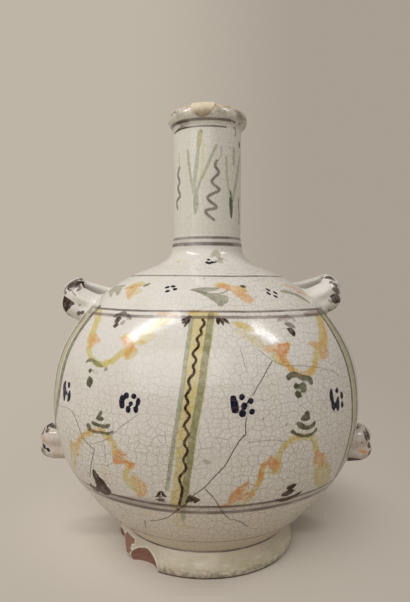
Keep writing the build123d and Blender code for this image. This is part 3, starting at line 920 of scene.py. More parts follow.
    even(GREEN, 2.3, 0.98, -37.5, 101.5, -35.9, 101, -33.6, 100.8, -31.6, 101.1, -30.6, 102),
    even(GREEN, 3.6, 0.95, -39.4, 99, -38.9, 97.7),
    even(GREEN, 1.9, 0.85, -39, 97.4, -36.8, 96.7, -34.1, 97.2, -31.2, 97.2, -29.2, 98.7),
    leaf(GREEN, 2.1, 0.9, -33.1, 97.3, -31.2, 97.3, -29.1, 98.8),
    even(ORANGE, 2.7, 0.66, -34.3, 98.3, -37.3, 97.3, -41.1, 93.9, -44.2, 89.9, -46, 86.3),
    even(YELLOW, 4, 0.7, -37.4, 96.7, -41.5, 93, -44.7, 88.6, -46.6, 84.6),
    leaf(ORANGE, 9, 0.55, -50.2, 85.3, -48.5, 82.3, -47.5, 79),
    leaf(ORANGE, 6.6, 0.52, -51.5, 82.5, -48.5, 82.3, -46.5, 85.4),
    leaf(ORANGE, 4.8, 0.6, -48.5, 83.8, -47.4, 81.3),
    even(YELLOW, 4.1, 0.7, -51, 84.9, -52.4, 78.2, -55, 69.9, -59.3, 61.6),
    even(YELLOW, 3.1, 0.7, -49.4, 78.9, -52.1, 71.4, -56.7, 63.4),
    even(YELLOW, 6, 0.35, -51.8, 76.2, -57, 64.1), even(ORANGE, 3.6, 0.3, -46.3, 81.8, -45.3, 78.7),
    even(YELLOW, 4.2, 0.85, -33.1, 97.7, -30.8, 95.4, -29.3, 92.4, -28.6, 89.6, -29, 86.7),
    even(ORANGE, 2.6, 0.52, -31.3, 95.7, -29.5, 93.1, -28.8, 90.2),
    leaf(ORANGE, 7.3, 0.78, -27.1, 90.3, -27.4, 86.1, -29.4, 81.3),
    leaf(ORANGE, 4.1, 0.7, -29, 86.7, -26.7, 87.4, -24.7, 87.5),
    leaf(ORANGE, 2.4, 1, -28.4, 85.2, -27.4, 86.1, -26.9, 87.3),
    leaf(ORANGE, 3, 0.85, -30, 81.6, -26, 82.9, -21.6, 82.1),
    leaf(ORANGE, 3.5, 0.7, -24.9, 80.9, -23, 80.9, -21.7, 82.1),
    even(YELLOW, 4, 0.78, -24.3, 82.5, -24.8, 79.5, -25.8, 75.9, -25.7, 71.9, -24.6, 69.2),
    leaf(YELLOW, 5.8, 0.85, -25, 72.1, -23.3, 68.1, -23, 65.2),
    leaf(ORANGE, 5.4, 0.48, -22.7, 77.2, -21.7, 72.3, -20.8, 65.9),
    leaf(YELLOW, 5.3, 0.72, -24, 75.3, -22.5, 70.6, -21.9, 65.6),
    leaf(ORANGE, 3.2, 0.66, -20.3, 73.4, -19.6, 69.9, -19.2, 66.3),
    leaf(ORANGE, 4, 0.66, -23, 62.7, -21.1, 64.7, -19.1, 67.4),
    leaf(ORANGE, 5.2, 0.18, -33.9, 77.9, -34.4, 73.2, -34.6, 67.1),
    leaf(ORANGE, 6, 0.2, -43.4, 72.4, -43.5, 69.3, -43.6, 66.2),
    leaf(BROWN, 6.4, 1, -39.9, 72.6, -39.4, 68.1, -39, 63.4),
    leaf(BROWN, 11.4, 1, -40.1, 67.8, -38.6, 64.6, -39.2, 59.7),
    leaf(BROWN, 6, 0.95, -45.2, 61.2, -44.9, 58.8, -42.2, 58.4),
    leaf(BROWN, 7.8, 1, -42.4, 59.3, -38.8, 59.8, -36.5, 58.1),
    leaf(BROWN, 4.3, 0.95, -37.5, 61.4, -35.6, 62.2, -35.6, 59.7), even(BROWN, 1.3, 0.8, -32.7, 78.2),
    # Right upper swag
    leaf(YELLOW, 4.5, 0.85, 9.8, 157.6, 13.2, 156.1, 17.1, 153.2),
    leaf(ORANGE, 2.8, 0.4, 10.3, 157.1, 13.5, 155.5),
    leaf(YELLOW, 5.6, 0.36, 10.1, 153.4, 13.4, 151.8, 16.3, 150.1),
    leaf(YELLOW, 6, 0.45, 13.7, 150.8, 16.8, 148, 19.4, 145.1),
    leaf(ORANGE, 5.1, 0.66, 19.4, 143.5, 22.4, 143.9, 26.1, 143.4),
    leaf(ORANGE, 7.1, 0.85, 22.3, 143, 26.2, 143.7, 29.3, 145.7),
    leaf(ORANGE, 7.1, 0.8, 24.6, 144.1, 25.5, 140.3, 25.8, 135.9),
    leaf(ORANGE, 3.3, 1, 25.1, 143.1, 26.5, 143, 27.8, 143.2),
    leaf(YELLOW, 2.5, 0.7, 28.2, 145.1, 29.5, 146.3, 30.2, 146.9),
    leaf(YELLOW, 6.5, 0.78, 21.8, 139.9, 24.2, 138.2, 26.9, 136.4),
    even(ORANGE, 4.1, 0.66, 25.6, 138.4, 26.7, 134.6, 28.1, 131.9),
    even(YELLOW, 3.5, 0.8, 25.9, 137.1, 27.2, 133.6, 29.2, 131.4),
    leaf(ORANGE, 3.7, 0.72, 28.2, 130.9, 32, 129.7, 35.5, 130.2),
    even(ORANGE, 3.3, 0.6, 31, 130.2, 34.1, 129.8, 36.5, 131.3, 38.4, 135),
    even(YELLOW, 4.3, 0.85, 34.9, 129.9, 37.3, 132.5, 38.8, 136.2, 40.6, 139.9),
    leaf(ORANGE, 10.3, 0.62, 46.6, 146.6, 45.5, 142.7, 42.5, 136.7),
    leaf(ORANGE, 5.4, 0.6, 38.8, 145.4, 42.2, 143.9, 45.7, 143.3),
    leaf(ORANGE, 3.8, 0.66, 41.5, 141.8, 45, 143.4, 48.6, 142.2),
    leaf(YELLOW, 6.9, 0.7, 42.5, 144.4, 42.2, 141.1, 40.4, 138),
    even(YELLOW, 7.4, 0.88, 46.5, 144.6, 49.5, 148.3, 52.5, 153.6, 57, 159.4),
    even(ORANGE, 5.3, 0.55, 48.3, 145, 51.5, 149.5, 54.4, 154.9, 56, 158.4),
    leaf(BROWN, 2.3, 0.48, 28.5, 157.8, 29.9, 158.8, 32.5, 159.7),
    leaf(BROWN, 3.2, 0.52, 32.5, 159.7, 34.7, 160.2, 36.8, 159.2),
    leaf(BROWN, 2.8, 0.45, 36.6, 158.9, 37.5, 157.6), leaf(BROWN, 2.7, 0.35, 31.6, 158.1, 33.6, 158.3),
    leaf(BROWN, 3.7, 0.72, 31.3, 156.5, 33.2, 155.9, 35.5, 154.1),
    leaf(BROWN, 2.8, 0.6, 32.2, 155.8, 34.3, 154.9), leaf(BROWN, 4.7, 1, 31.4, 153.5, 32.7, 152.3, 33, 149.9),
    leaf(BROWN, 3.7, 0.95, 31.9, 152.8, 34, 152.1),
    even(GREEN, 3.4, 0.95, 26, 128.8, 27.1, 129.7, 29, 129.8, 30.8, 128.3, 33.2, 127.3, 34.5, 126.1, 34.6, 125),
    even(GREEN, 3.3, 0.95, 26.4, 129), even(GREEN, 3.6, 0.95, 34.4, 125.8), even(GREEN, 3.6, 1, 28.4, 123.8),
    even(GREEN, 5.3, 0.92, 31.1, 123, 31.1, 122.4), even(GREEN, 2.8, 0.9, 29, 123.7, 30.4, 123.3),
    leaf(GREEN, 3.9, 1, 27.7, 120.4, 28.9, 119.4, 30, 118.3), even(BLUE, 3, 1, 10.3, 120.2),
    even(BLUE, 3, 1, 12.9, 118), even(BLUE, 3.3, 1, 10.9, 115.6), even(BLUE, 3.7, 1, 10.4, 111.8),
    even(BLUE, 2.9, 1, 13.2, 112.5), even(BLUE, 3.1, 1, 7.7, 119.6, 7.7, 118),
    even(BLUE, 3.8, 1, 8, 117, 8.2, 113.9), leaf(BLUE, 3.5, 1, 43.8, 119, 43.5, 115.3, 44.3, 111.3),
    leaf(BLUE, 3.7, 1, 43.8, 112.5, 44.7, 107.3), leaf(BLUE, 3.6, 1, 47.1, 118.9, 47, 116.4),
    leaf(BLUE, 4.1, 1, 47.3, 113.6, 46.8, 111, 47, 106.4), leaf(BLUE, 3.6, 1, 49.5, 116, 50.1, 112.5),
    leaf(BLUE, 3.4, 1, 50, 110.4, 49.5, 107.4), even(BROWN, 0.5, 0.45, 2.9, 143.4, 2.8, 139.7),
    even(BROWN, 0.8, 0.5, 20.2, 126),
    # Right lower swag
    dab(GREEN, 3.9, 1, 32, 108.5, 31.8, 110.4), leaf(GREEN, 2.7, 1, 30.9, 109, 32, 108.5, 33, 108.6),
    leaf(GREEN, 3.4, 1, 29.4, 106.3, 31.1, 106.4, 33.1, 105.7), leaf(GREEN, 2, 1, 30.1, 107.3, 31.3, 107.5),
    even(GREEN, 2.5, 0.98, 28.3, 104, 28.9, 102.6, 31.1, 101.1, 33.3, 101.1, 34.8, 102.7),
    leaf(GREEN, 3.2, 0.98, 27.9, 104, 29.3, 102.9, 31.1, 101.8), even(GREEN, 2.7, 1, 26.3, 100),
    even(GREEN, 2, 0.96, 26.5, 99.9, 28.3, 98, 31, 96.7, 33.7, 97, 35.7, 99.1),
    leaf(GREEN, 1.5, 0.7, 24.4, 105, 23.9, 103.2),
    even(YELLOW, 3.4, 0.85, 31.2, 96.3, 28, 96.8, 25.6, 95.6, 23.8, 93, 22.7, 90.9, 21.8, 87.3),
    even(ORANGE, 1.9, 0.4, 28, 96.4, 25.6, 95.3, 23.9, 92.3),
    leaf(YELLOW, 4.7, 0.75, 21.9, 89.7, 21.7, 85, 23.1, 79),
    leaf(ORANGE, 5.9, 0.82, 18.8, 87.6, 20.2, 84, 21, 78.8),
    leaf(ORANGE, 5.5, 0.82, 17.4, 84.2, 20.2, 84, 22.7, 80.6),
    leaf(YELLOW, 3.8, 0.8, 19.3, 79.5, 21.4, 78.7, 23.1, 79.4), leaf(ORANGE, 2.8, 1, 19.4, 84.1, 20.8, 83.5),
    even(ORANGE, 3.5, 0.8, 18, 84.4, 16.7, 82.2, 16.7, 79.7, 16.7, 76.1),
    even(YELLOW, 3.6, 0.8, 17.1, 81.8, 16.8, 77.5, 16.2, 73.3, 15.2, 69.8, 14.4, 67.3),
    even(ORANGE, 2.8, 0.6, 16.7, 79, 16.5, 74.7, 15.4, 70.5),
    leaf(ORANGE, 3.7, 0.75, 15, 67.6, 13.5, 64.9, 12.4, 63.8),
    leaf(YELLOW, 4, 0.6, 15, 66.8, 13, 62.4, 9.6, 59.9),
    leaf(ORANGE, 4.1, 0.85, 12.7, 74.9, 11.8, 71.1, 10.6, 67.5),
    leaf(ORANGE, 5.8, 0.85, 10.9, 72.6, 9.6, 67.7, 7.3, 63.3),
    dab(ORANGE, 5.7, 0.82, 9.5, 65.4, 7.5, 61.5, 5, 59.5),
    leaf(ORANGE, 3.7, 0.8, 13.4, 67.9, 11.1, 65.2, 8.6, 61.8),
    even(YELLOW, 4.1, 0.8, 32.2, 96, 34.4, 94, 35.5, 90.2, 36.4, 86.4),
    leaf(YELLOW, 5, 0.65, 34.2, 96.1, 35.3, 93, 35.8, 89.3),
    leaf(ORANGE, 6.9, 0.72, 35.9, 85.8, 37.6, 82.4, 36.3, 78.8),
    leaf(ORANGE, 4.8, 0.72, 37.5, 83.1, 40.2, 81.4, 41.8, 80),
    leaf(ORANGE, 7.4, 0.7, 40.7, 82, 40.6, 78.2, 39.2, 76.2), leaf(ORANGE, 2.5, 1, 36.1, 82.9, 38.6, 81.7),
    even(YELLOW, 5.3, 0.8, 39.6, 77.1, 39, 73.6, 40.2, 68.5, 43.8, 63, 47.9, 61.6, 47.3, 66, 45, 71.7, 43.1,
        74.9),
    even(YELLOW, 4.1, 0.75, 42, 73.9, 42.2, 70, 44.3, 65.1), even(YELLOW, 5.4, 0.4, 40.6, 72.9, 42.1, 66.9),
    even(YELLOW, 4.8, 0.55, 43.5, 73.2, 45.4, 66.2), leaf(BROWN, 3.7, 1, 26.8, 67.5, 28.6, 67.4, 30.4, 68.3),
    leaf(BROWN, 4.3, 1, 25.6, 63.2, 27.8, 63.5, 30.3, 64.4),
    leaf(BROWN, 3.5, 1, 23.8, 60.3, 26.8, 59.2, 30.6, 59.6, 34.4, 62),
    leaf(BROWN, 2.5, 0.35, -0.9, 88, 0.2, 86.5, 1.4, 86), leaf(BROWN, 1.7, 0.85, -0.2, 86.8, 0.5, 86.1),
    even(BROWN, 0.8, 0.7, 18.7, 110), even(BROWN, 0.7, 0.6, 30.8, 90.3), even(BROWN, 0.7, 0.6, 28, 86.8),
    leaf(BROWN, 2.4, 0.7, 55.5, 62.7, 61.8, 58), even(BROWN, 1.9, 0.7, 58.8, 57.6),
    # Side bands
    even(GREEN, 4.6, 0.5, 64, 162, 62.5, 150, 61.8, 130, 61.6, 98, 60.6, 80, 59, 65, 59, 58),
    even(YELLOW, 5.8, 0.72, 64, 162, 62.5, 150, 61.8, 130, 61.6, 98, 60.6, 80, 59, 65, 59, 58),
    even(GREEN, 3.6, 0.98, 60.5, 162, 59.2, 150, 58.6, 130, 58.5, 98, 57.6, 80, 56.4, 65, 56.4, 58),
    even(GREEN, 6, 0.98, 67.8, 162, 66.2, 150, 65.4, 130, 65, 98, 63.8, 80, 62, 65, 62, 58),
    even(GREEN, 4.6, 0.42, -65.2, 163, -65.7, 150, -65.2, 132, -65.2, 115, -67.2, 103, -70, 95, -73.5, 85, -77,
        75),
    even(YELLOW, 6.4, 0.72, -65.2, 163, -65.7, 150, -65.2, 132, -65.2, 115, -67.2, 103, -70, 95, -73.5, 85, -77,
        75),
    even(GREEN, 6.2, 0.85, -59.8, 163, -60.6, 150, -60.6, 132, -60.8, 115, -63, 103, -66, 95, -69.6, 85, -73.2,
        75),
    even(GREEN, 6.4, 0.9, -70, 163, -70, 150, -69.4, 132, -69.2, 115, -70.8, 103, -73.5, 95, -77, 85, -80.5,
        75),
    # Smears and late dabs
    leaf(BROWN, 6.4, 0.3, -36.9, 56.9, -25.8, 58.9, -16.5, 59.5, -8.2, 58.5),
    leaf(BROWN, 5.2, 0.5, 45.1, 160.8, 53.9, 161.3, 73.6, 161.7),
    leaf(GREEN, 3.1, 0.9, 67.4, 160.5, 66.7, 158.7, 66.5, 156.4),
    leaf(GREEN, 2.9, 0.9, 80.1, 159.6, 80.2, 157.6, 79.3, 155.2),
    leaf(BROWN, 2.4, 0.85, 80.1, 163.9, 80, 163.2, 79.9, 162.4),
    leaf(BROWN, 2.6, 0.85, -61.5, 157.6, -60.5, 158.8, -60, 160.3),
    leaf(GREEN, 7.2, 0.55, -75.7, 162.3, -70.1, 159.5, -68.4, 155.8),
    leaf(ORANGE, 5.8, 0.16, -26, 48.2, -20.2, 51.2), leaf(YELLOW, 7.3, 0.3, -11, 50.8, -8.2, 43, -4.9, 42.4),
    even(YELLOW, 4.4, 0.35, 4.3, 59.1, 5.5, 59),
)

cracks = {
    "crack_a": (
        (11.6, 110.5, 11.2, 106.2, 11.3, 100.6, 10.3, 99.6, 9.2, 97.2, 8.2, 94, 7.3, 91.1, 6.5, 88.1, 5.4, 84.2,
            4.5, 82.5, 3.1, 79.6, 1.4, 76.1, -0.6, 71.8, -3.9, 67.1, -5.6, 63.3, -6.9, 60.3, -8.7, 57.4, -9.8,
            56.1, -11.7, 52.7, -13.4, 50.3, -16, 47.7, -18.4, 45.9, -22.9, 43.7),
    ),
    "crack_b": (
        (-0.5, 71.5, 0.7, 68.9, 1.8, 66.7, 3, 63.7, 3.9, 60.7, 5, 56.8, 6.3, 53.5, 7.7, 50.8, 9.1, 48.4, 10,
            48.9, 11.2, 48, 14.1, 45.2, 17.6, 40.6),
        (21.5, 138.1, 19.2, 134, 17.4, 129.8, 15.1, 124.8, 13.5, 120.3),
        (-37.2, 86.8, -38.3, 82.9, -39.6, 78.6, -41.6, 72.5, -43.7, 66.1),
        (-24.8, 43.5, -25.7, 40.5, -27.2, 36),
        (-49.1, 104.9, -46.9, 102.4, -45.2, 98.8, -44.1, 95.7, -43.1, 92.3, -41.8, 90.1, -40.3, 88.4, -38.9,
            87.3, -37.6, 86.5),
    ),
    "crack_c": (
        (12.4, 117.1, 12, 113.6, 11.6, 108.4, 11.5, 108.7, 11.3, 104.3),
        (11.8, 96.6, 13.9, 96.7, 17.3, 97.1, 20.4, 96.7, 24.6, 94.9),
        (16.7, 144, 18.9, 141.1, 21.1, 138.1, 23, 136.4, 25.4, 135, 29.1, 134.4, 33, 133.8, 36.8, 132.9, 40.8,
            131.6, 43.8, 130.1, 46.4, 128.6, 50.5, 125),
        (-34.9, 52.5, -33.9, 50.3, -32.5, 47.7, -31.2, 45.3),
        (10.9, 145.4, 11.4, 140.5, 11.9, 134.5),
        (-32.5, 91.1, -32.7, 85.6, -33.2, 79.7),
        (-62, 102.8, -54.2, 105.3, -49.1, 104.9),
        (-20.2, 110.4, -21, 109, -23.3, 106.1, -25.8, 102.7, -28.3, 98.5, -31.4, 94.1, -35.7, 90.7),
    ),
}

loop_strokes = {
    "upper_left_loop": (
        even(BROWN, 1.4, 0.8, -98.3, 173.7, -95.2, 178.1, -91.7, 180.5, -88.6, 181.6),
        leaf(BROWN, 4.9, 0.96, -95.2, 174.7, -91.7, 177.8, -87.6, 179.2),
        leaf(BROWN, 3.1, 0.85, -93.8, 173.3, -91, 176.4, -87.6, 177.5),
        leaf(BROWN, 2, 0.8, -89, 173.4, -87.3, 175.1, -88, 177.1),
        even(BROWN, 1.2, 0.6, -91.4, 172.7, -89, 170.3), leaf(BROWN, 2.7, 0.8, -98.9, 171.9, -95.9, 172.6),
        leaf(BROWN, 6.2, 1, -98.3, 169.2, -96.6, 165.1, -96.9, 159.6),
        leaf(BROWN, 4.4, 1, -96.6, 168.5, -93.8, 165.4, -90.4, 164.8),
        leaf(BROWN, 3.6, 1, -97.3, 161.7, -94.5, 162.7, -92.5, 164.8),
        even(BROWN, 2.2, 0.7, -95.9, 157.2, -93.5, 154.8, -91.1, 152.7), even(GREEN, 2.1, 0.6, -86.3, 163.8),
        leaf(BROWN, 2.9, 0.9, -88, 157.2, -85.9, 159.3), leaf(BROWN, 2.7, 0.9, -85.3, 157.9, -83.2, 159.7),
    ),
    "upper_right_loop": (
        leaf(BROWN, 2.5, 0.85, 81.6, 183.2, 85, 183.6, 88.5, 181.2),
        even(BROWN, 1.8, 0.8, 84.4, 180.1, 85.7, 180.5),
        leaf(BROWN, 2.3, 0.85, 85.8, 179.1, 87.8, 178.8, 89.9, 177.4),
        leaf(BROWN, 4.2, 0.8, 85.5, 175.7, 88.6, 175, 91.3, 172.3),
        even(BROWN, 1.3, 0.7, 91.6, 178.8, 93, 176.4, 92.7, 173.7),
        leaf(BROWN, 5.9, 0.92, 84.5, 170.5, 87.3, 169.9, 91.4, 166.8),
        leaf(BROWN, 4, 0.92, 85.2, 168.1, 88.7, 167.8, 91, 170.2),
        even(GREEN, 2.5, 0.65, 83.2, 167.8, 84.9, 167.1),
        even(BROWN, 2, 0.7, 83.9, 160.9, 86.7, 160.9, 89.1, 163),
    ),
    "lower_left_loop": (
        leaf(BLUE, 2.3, 0.85, -112.1, 78.1, -109.3, 80.2, -105.2, 81.5), even(BLUE, 2.2, 0.85, -111, 78.6),
        leaf(BROWN, 2.3, 0.8, -111.4, 76, -108.6, 76.8), even(BROWN, 1.4, 0.8, -113.1, 76.7, -113.5, 73.9),
        leaf(ORANGE, 2.8, 0.6, -113.2, 70.8, -110.4, 68.7), leaf(BLUE, 2.2, 0.85, -113.2, 66.6, -110.8, 64.5),
        leaf(BLUE, 2, 0.85, -109.7, 64.9, -107.3, 63.5), leaf(GREEN, 1.7, 0.7, -113.2, 63.8, -110.1, 61.7),
        leaf(GREEN, 1.7, 0.7, -112.5, 60.3, -109.4, 58.6),
        even(BROWN, 2, 0.8, -113.7, 63.5, -112.9, 60.3, -110.8, 57.7),
        even(BROWN, 1.8, 0.7, -110.8, 57.4, -105.3, 57.4), leaf(ORANGE, 3.4, 0.28, -104.2, 63.2, -101.8, 61.1),
    ),
    "lower_right_loop": (
        even(GREEN, 2.1, 0.6, 106.4, 81.8), leaf(BROWN, 2.3, 0.85, 107.5, 82.1, 109.9, 81.8, 112, 79.4),
        leaf(BROWN, 2.3, 0.9, 109.3, 77.6, 111.1, 71), leaf(BROWN, 2.3, 0.9, 111.3, 78.3, 113.2, 71),
        even(BROWN, 1.6, 0.7, 107, 70.6), leaf(BROWN, 3.4, 0.9, 112.5, 68.9, 114.7, 65.4),
        leaf(ORANGE, 3, 0.9, 104.9, 66, 108.1, 64, 111.6, 64),
        even(BROWN, 3.6, 0.9, 99.5, 74, 100.5, 78.5, 104, 81.8), leaf(BROWN, 2.2, 0.8, 112, 60.5, 114.3, 63.7),
        leaf(BROWN, 5.1, 0.92, 97.8, 59.7, 102, 57.3, 107.2, 57.7),
    ),
}


# Strap loops

# Outlines of a strap's section, as shares of half its width and of its thickness
strap_outer = (
    (-1.00, -0.05), (-0.88, 0.27), (-0.48, 0.50), (-0.06, 0.36), (0.40, 0.50), (0.86, 0.25), (1.00, -0.05),
)
strap_inner = ((1.00, -0.05), (0.80, -0.42), (0.00, -0.42), (-0.80, -0.42), (-1.00, -0.05))
outer_spacing, inner_spacing = 0.055, 0.11
section_shares = np.concatenate([
    evenly(flowing(strap_outer, steps=240), outer_spacing)[:-1],
    evenly(flowing(strap_inner, steps=240), inner_spacing)[:-1],
])

# Half the distance between a loop's two roots, and how deep they reach behind the globe's skin at first
half_spread = 10.5
root_depth = 15.0

# How far behind the skin a leg stops, how far its last row lies, and the length in which its smear dies away
skin_depth = 0.8
end_depth = 0.7
smear_length = 2.2

# What the two upper loops share, what the two lower ones share, and the four loops
upper_roots = {"lean": 13.0, "sag": 4.6, "rise": 1.2, "front_root": 17.0, "rear_root": 24.0, "front_drop": 5.0}
lower_roots = {"sag": 1.2, "rise": 0.0, "front_root": 20.0, "rear_root": 20.0, "front_drop": 0.5}
loops = {
    "upper_left_loop": {"side": -1, "height": 164.54, "reach": 23.95, "width": 28.0, **upper_roots},
    "upper_right_loop": {"side": 1, "height": 169.54, "reach": 21.95, "width": 26.0, **upper_roots},
    "lower_left_loop": {"side": -1, "height": 67.61, "reach": 19.149, "width": 21.5, "lean": 0.0, **lower_roots},
    "lower_right_loop": {"side": 1, "height": 67.03, "reach": 19.35, "width": 23.0, "lean": 5.0, **lower_roots},
}


def strap_loop(name, sizes, side, height, reach, width, lean, sag, rise, front_root, rear_root, front_drop):
    """One cord loop: a two-lobed strap arched from front to back, its roots smeared over the globe."""
    thickness = sizes.strap_thickness / MM
    smear = sizes.root_smear / MM
    seat = np.array([side * radius_at(height, globe_line), 0, height])
    across = np.array([-side * sin(radians(lean)), 0, cos(radians(lean))])
    outward = np.array([side * cos(radians(lean)), 0, sin(radians(lean))])
    front = np.array([0.0, -1.0, 0.0])
    middle = seat + outward * (reach - thickness / 2 - half_spread)

    def section(place, direction, strap_width):
        reach_across = section_shares[:, 0] * strap_width / 2
        reach_out = section_shares[:, 1] * thickness - sag * section_shares[:, 0] ** 2
        return place + reach_across[:, None] * across + reach_out[:, None] * direction

    arch = []
    for turn in np.linspace(0, pi, 49):
        direction = front * cos(turn) + outward * sin(turn)
        share = 0.5 + 0.5 * sin(turn)
        root_width, root_drop = (front_root, front_drop) if cos(turn) > 0 else (rear_root, 0)
        strap_width = width * share + root_width * (1 - share)
        shift = rise * share - root_drop * (1 - share)
        arch.append(section(middle + direction * half_spread + across * shift, direction, strap_width))

    def leg(top, direction, root_width, root_drop):
        """Rows from the arch's end down to the globe, each place stopped just behind the skin."""
        root_place = seat - outward * root_depth + direction * half_spread - across * root_drop
        root = section(root_place, direction, root_width)
        low, high = np.zeros(len(top)), np.ones(len(top))
        for _ in range(30):
            share = (low + high) / 2
            place = top + share[:, None] * (root - top)
            out = np.hypot(place[:, 0], place[:, 1]) > radius_at(place[:, 2], globe_line) - skin_depth
            low, high = np.where(out, share, low), np.where(out, high, share)
        length = np.linalg.norm(root - top, axis=1)
        spread = top - top.mean(axis=0)
        spread -= np.outer(spread @ outward, outward)
        spread /= np.linalg.norm(spread, axis=1)[:, None]
        rows = []
        for step in np.linspace(0, 1, 22) ** 0.75:
            place = top + (low * step)[:, None] * (root - top)
            left = low * (1 - step) * length
            place = place + spread * (smear * np.exp(-left / smear_length))[:, None]
            if step == 1:
                seated = radius_at(place[:, 2], globe_line) - end_depth
                place[:, :2] *= (seated / np.hypot(place[:, 0], place[:, 1]))[:, None]
            rows.append(place)
        return rows

    front_leg = leg(arch[0], front, front_root, front_drop)
    rear_leg = leg(arch[-1], -front, rear_root, 0)
    rows = front_leg[::-1][:-1] + arch + rear_leg[1:]
    around, last = len(section_shares), (len(rows) - 1) * len(section_shares)
    faces = [
        (row + k, row + (k + 1) % around, row + (k + 1) % around + around, row + k + around)
        for row in range(0, last, around) for k in range(around)
    ]
    faces += [tuple(range(around)), tuple(range(last, last + around))]
    mesh = bpy.data.meshes.new(name)
    mesh.from_pydata((np.concatenate(rows) * MM).tolist(), [], faces)
    with edited(mesh) as shape:
        split_large(shape)
    return finished(mesh, name, 60.0)


# Stage


def backdrop_material(colours):
    """A matte floor that keeps the shadow, and fades into a plain background for the eye and for reflections, both
    darkened towards the right as painted shade.
    """
    material, nodes = new_material("floor_and_backdrop")
    across = nodes.step(nodes.separated(nodes.place)[0], -0.30, 0.40)

    def shaded(colour, *shares):
        """The colour on the left, darkened towards the right by shares of it, as painted shade."""
        return nodes.blend(across, colour, tuple(part * share for part, share in zip(colour, shares)))

    # Painted shade: the floor's colour and the backdrop's glow both darken towards the right
    matte = nodes.add("ShaderNodeBsdfDiffuse", shaded(colours.floor, 0.78, 0.77, 0.77), 0.5).outputs[0]
    glow = nodes.add("ShaderNodeEmission", shaded(colours.backdrop, 0.76, 0.75, 0.75), 1.0).outputs[0]
    light = nodes.add("ShaderNodeLightPath").outputs
    seen = nodes.math("MAXIMUM", light["Is Camera Ray"], light["Is Glossy Ray"])
    seen = nodes.math("MAXIMUM", seen, light["Is Transmission Ray"])
    reach = nodes.add("ShaderNodeVectorMath", nodes.place, (0.0, 0.05, 0.0), operation="DISTANCE").outputs["Value"]
    share = nodes.step(reach, 0.08, 0.17) * seen
    nodes.add("ShaderNodeOutputMaterial", nodes.add("ShaderNodeMixShader", share, matte, glow).outputs[0])
    return material


def make_backdrop(colours):
    """A seamless sweep of floor and backdrop."""
    half_width, back, bend, top = 3.0, 1.2, 0.5, 3.0
    depth = [(-2.0, 0.0), (back, 0.0)]
    depth += [(back + bend * sin(turn), bend - bend * cos(turn)) for turn in np.linspace(0, pi / 2, 13)[1:]]
    depth.append((back + bend, top))
    points = [(x, y, z) for y, z in depth for x in (-half_width, half_width)]
    mesh = bpy.data.meshes.new("backdrop")
    mesh.from_pydata(points, [], [(2 * i, 2 * i + 1, 2 * i + 3, 2 * i + 2) for i in range(len(depth) - 1)])
    for face in mesh.polygons:
        face.use_smooth = True
    mesh.materials.append(backdrop_material(colours))
    return placed("backdrop", mesh)


# Name, place, direction of the long side, size in metres and power in watts
lamps = (
    ("left_window", (-0.53, -0.19, 0.97), (0.96, 0, 0.25), (0.60, 0.13), 4.6),
    ("right_window", (0.60, -0.27, 0.97), (-0.62, 0, 0.78), (0.28, 0.09), 2.0),
    ("room", (-0.46, -1.12, 0.86), (1, 0, 0), (1.9, 0.9), 11.2),
)


def make_lamp(name, place, along, size, power):
    """A soft lamp that faces the flask, its long side along a direction."""
    light = bpy.data.lights.new(name, "AREA")
    light.shape = "RECTANGLE"
    light.size, light.size_y = size
    light.energy = power
    back = (Vector(place) - Vector((0, 0, 0.15))).normalized()
    long_side = (Vector(along) - Vector(along).dot(back) * back).normalized()
    turned = Matrix((long_side, back.cross(long_side), back)).transposed()
    placed(name, light).matrix_world = Matrix.Translation(place) @ turned.to_4x4()


def make_camera(scene):
    """A hand-held camera before the flask."""
    lens = bpy.data.cameras.new("camera")
    lens.sensor_width = 36.0
    lens.lens = 32.17
    lens.clip_start = 0.01
    scene.camera = placed("camera", lens)
    tilt = Matrix.Rotation(radians(90 - 1.96), 4, "X") @ Matrix.Rotation(radians(0.31), 4, "Z")
    scene.camera.matrix_world = Matrix.Translation((-0.0012, -0.3788, 0.1796)) @ tilt


class FLASK_OT_stage(bpy.types.Operator):
    """Make the floor, the backdrop, the lamps and the camera"""

    bl_idname = "flask.stage"
    bl_label = "Stage"

    def execute(self, context):
        scene = context.scene
        colours = scene.flask_colours
        make_backdrop(colours)
        for lamp in lamps:
            make_lamp(*lamp)
        scene.world = bpy.data.worlds.new("soft_room")
        scene.world.use_nodes = True
        nodes = Nodes(scene.world.node_tree)
        nodes.add("ShaderNodeOutputWorld", nodes.add("ShaderNodeBackground", (1.0, 0.97, 0.93), 0.345).outputs[0])
        make_camera(scene)
        scene.view_settings.view_transform = "Standard"
        return {"FINISHED"}


# Pieces


def values_of(context):
    """The user's sizes, and the glaze in the user's colours."""
    sizes, colours = context.scene.flask_sizes, context.scene.flask_colours
    return sizes, material_named("painted_tin_glaze", glaze_material, colours, sizes)


def dress(piece, node):
    """Puts a piece in its node's place, riding on the only body."""
    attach(piece, "root")
    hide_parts(node)


def cut(piece, cutter, operation="DIFFERENCE"):
    """Applies a boolean of the cutter to the piece."""
    modifier = piece.modifiers.new("cut", "BOOLEAN")
    modifier.operation = operation
    modifier.solver = "EXACT"
    modifier.object = cutter
    mesh = evaluated_mesh(piece)
    piece.modifiers.clear()
    old = piece.data
    material = next(slot for slot in old.materials if slot)
    mesh.materials.clear()
    mesh.materials.append(material)
    mesh.polygons.foreach_set("material_index", np.zeros(len(mesh.polygons), np.int32))
    piece.data = mesh
    bpy.data.meshes.remove(old)
    bpy.data.objects.remove(cutter)


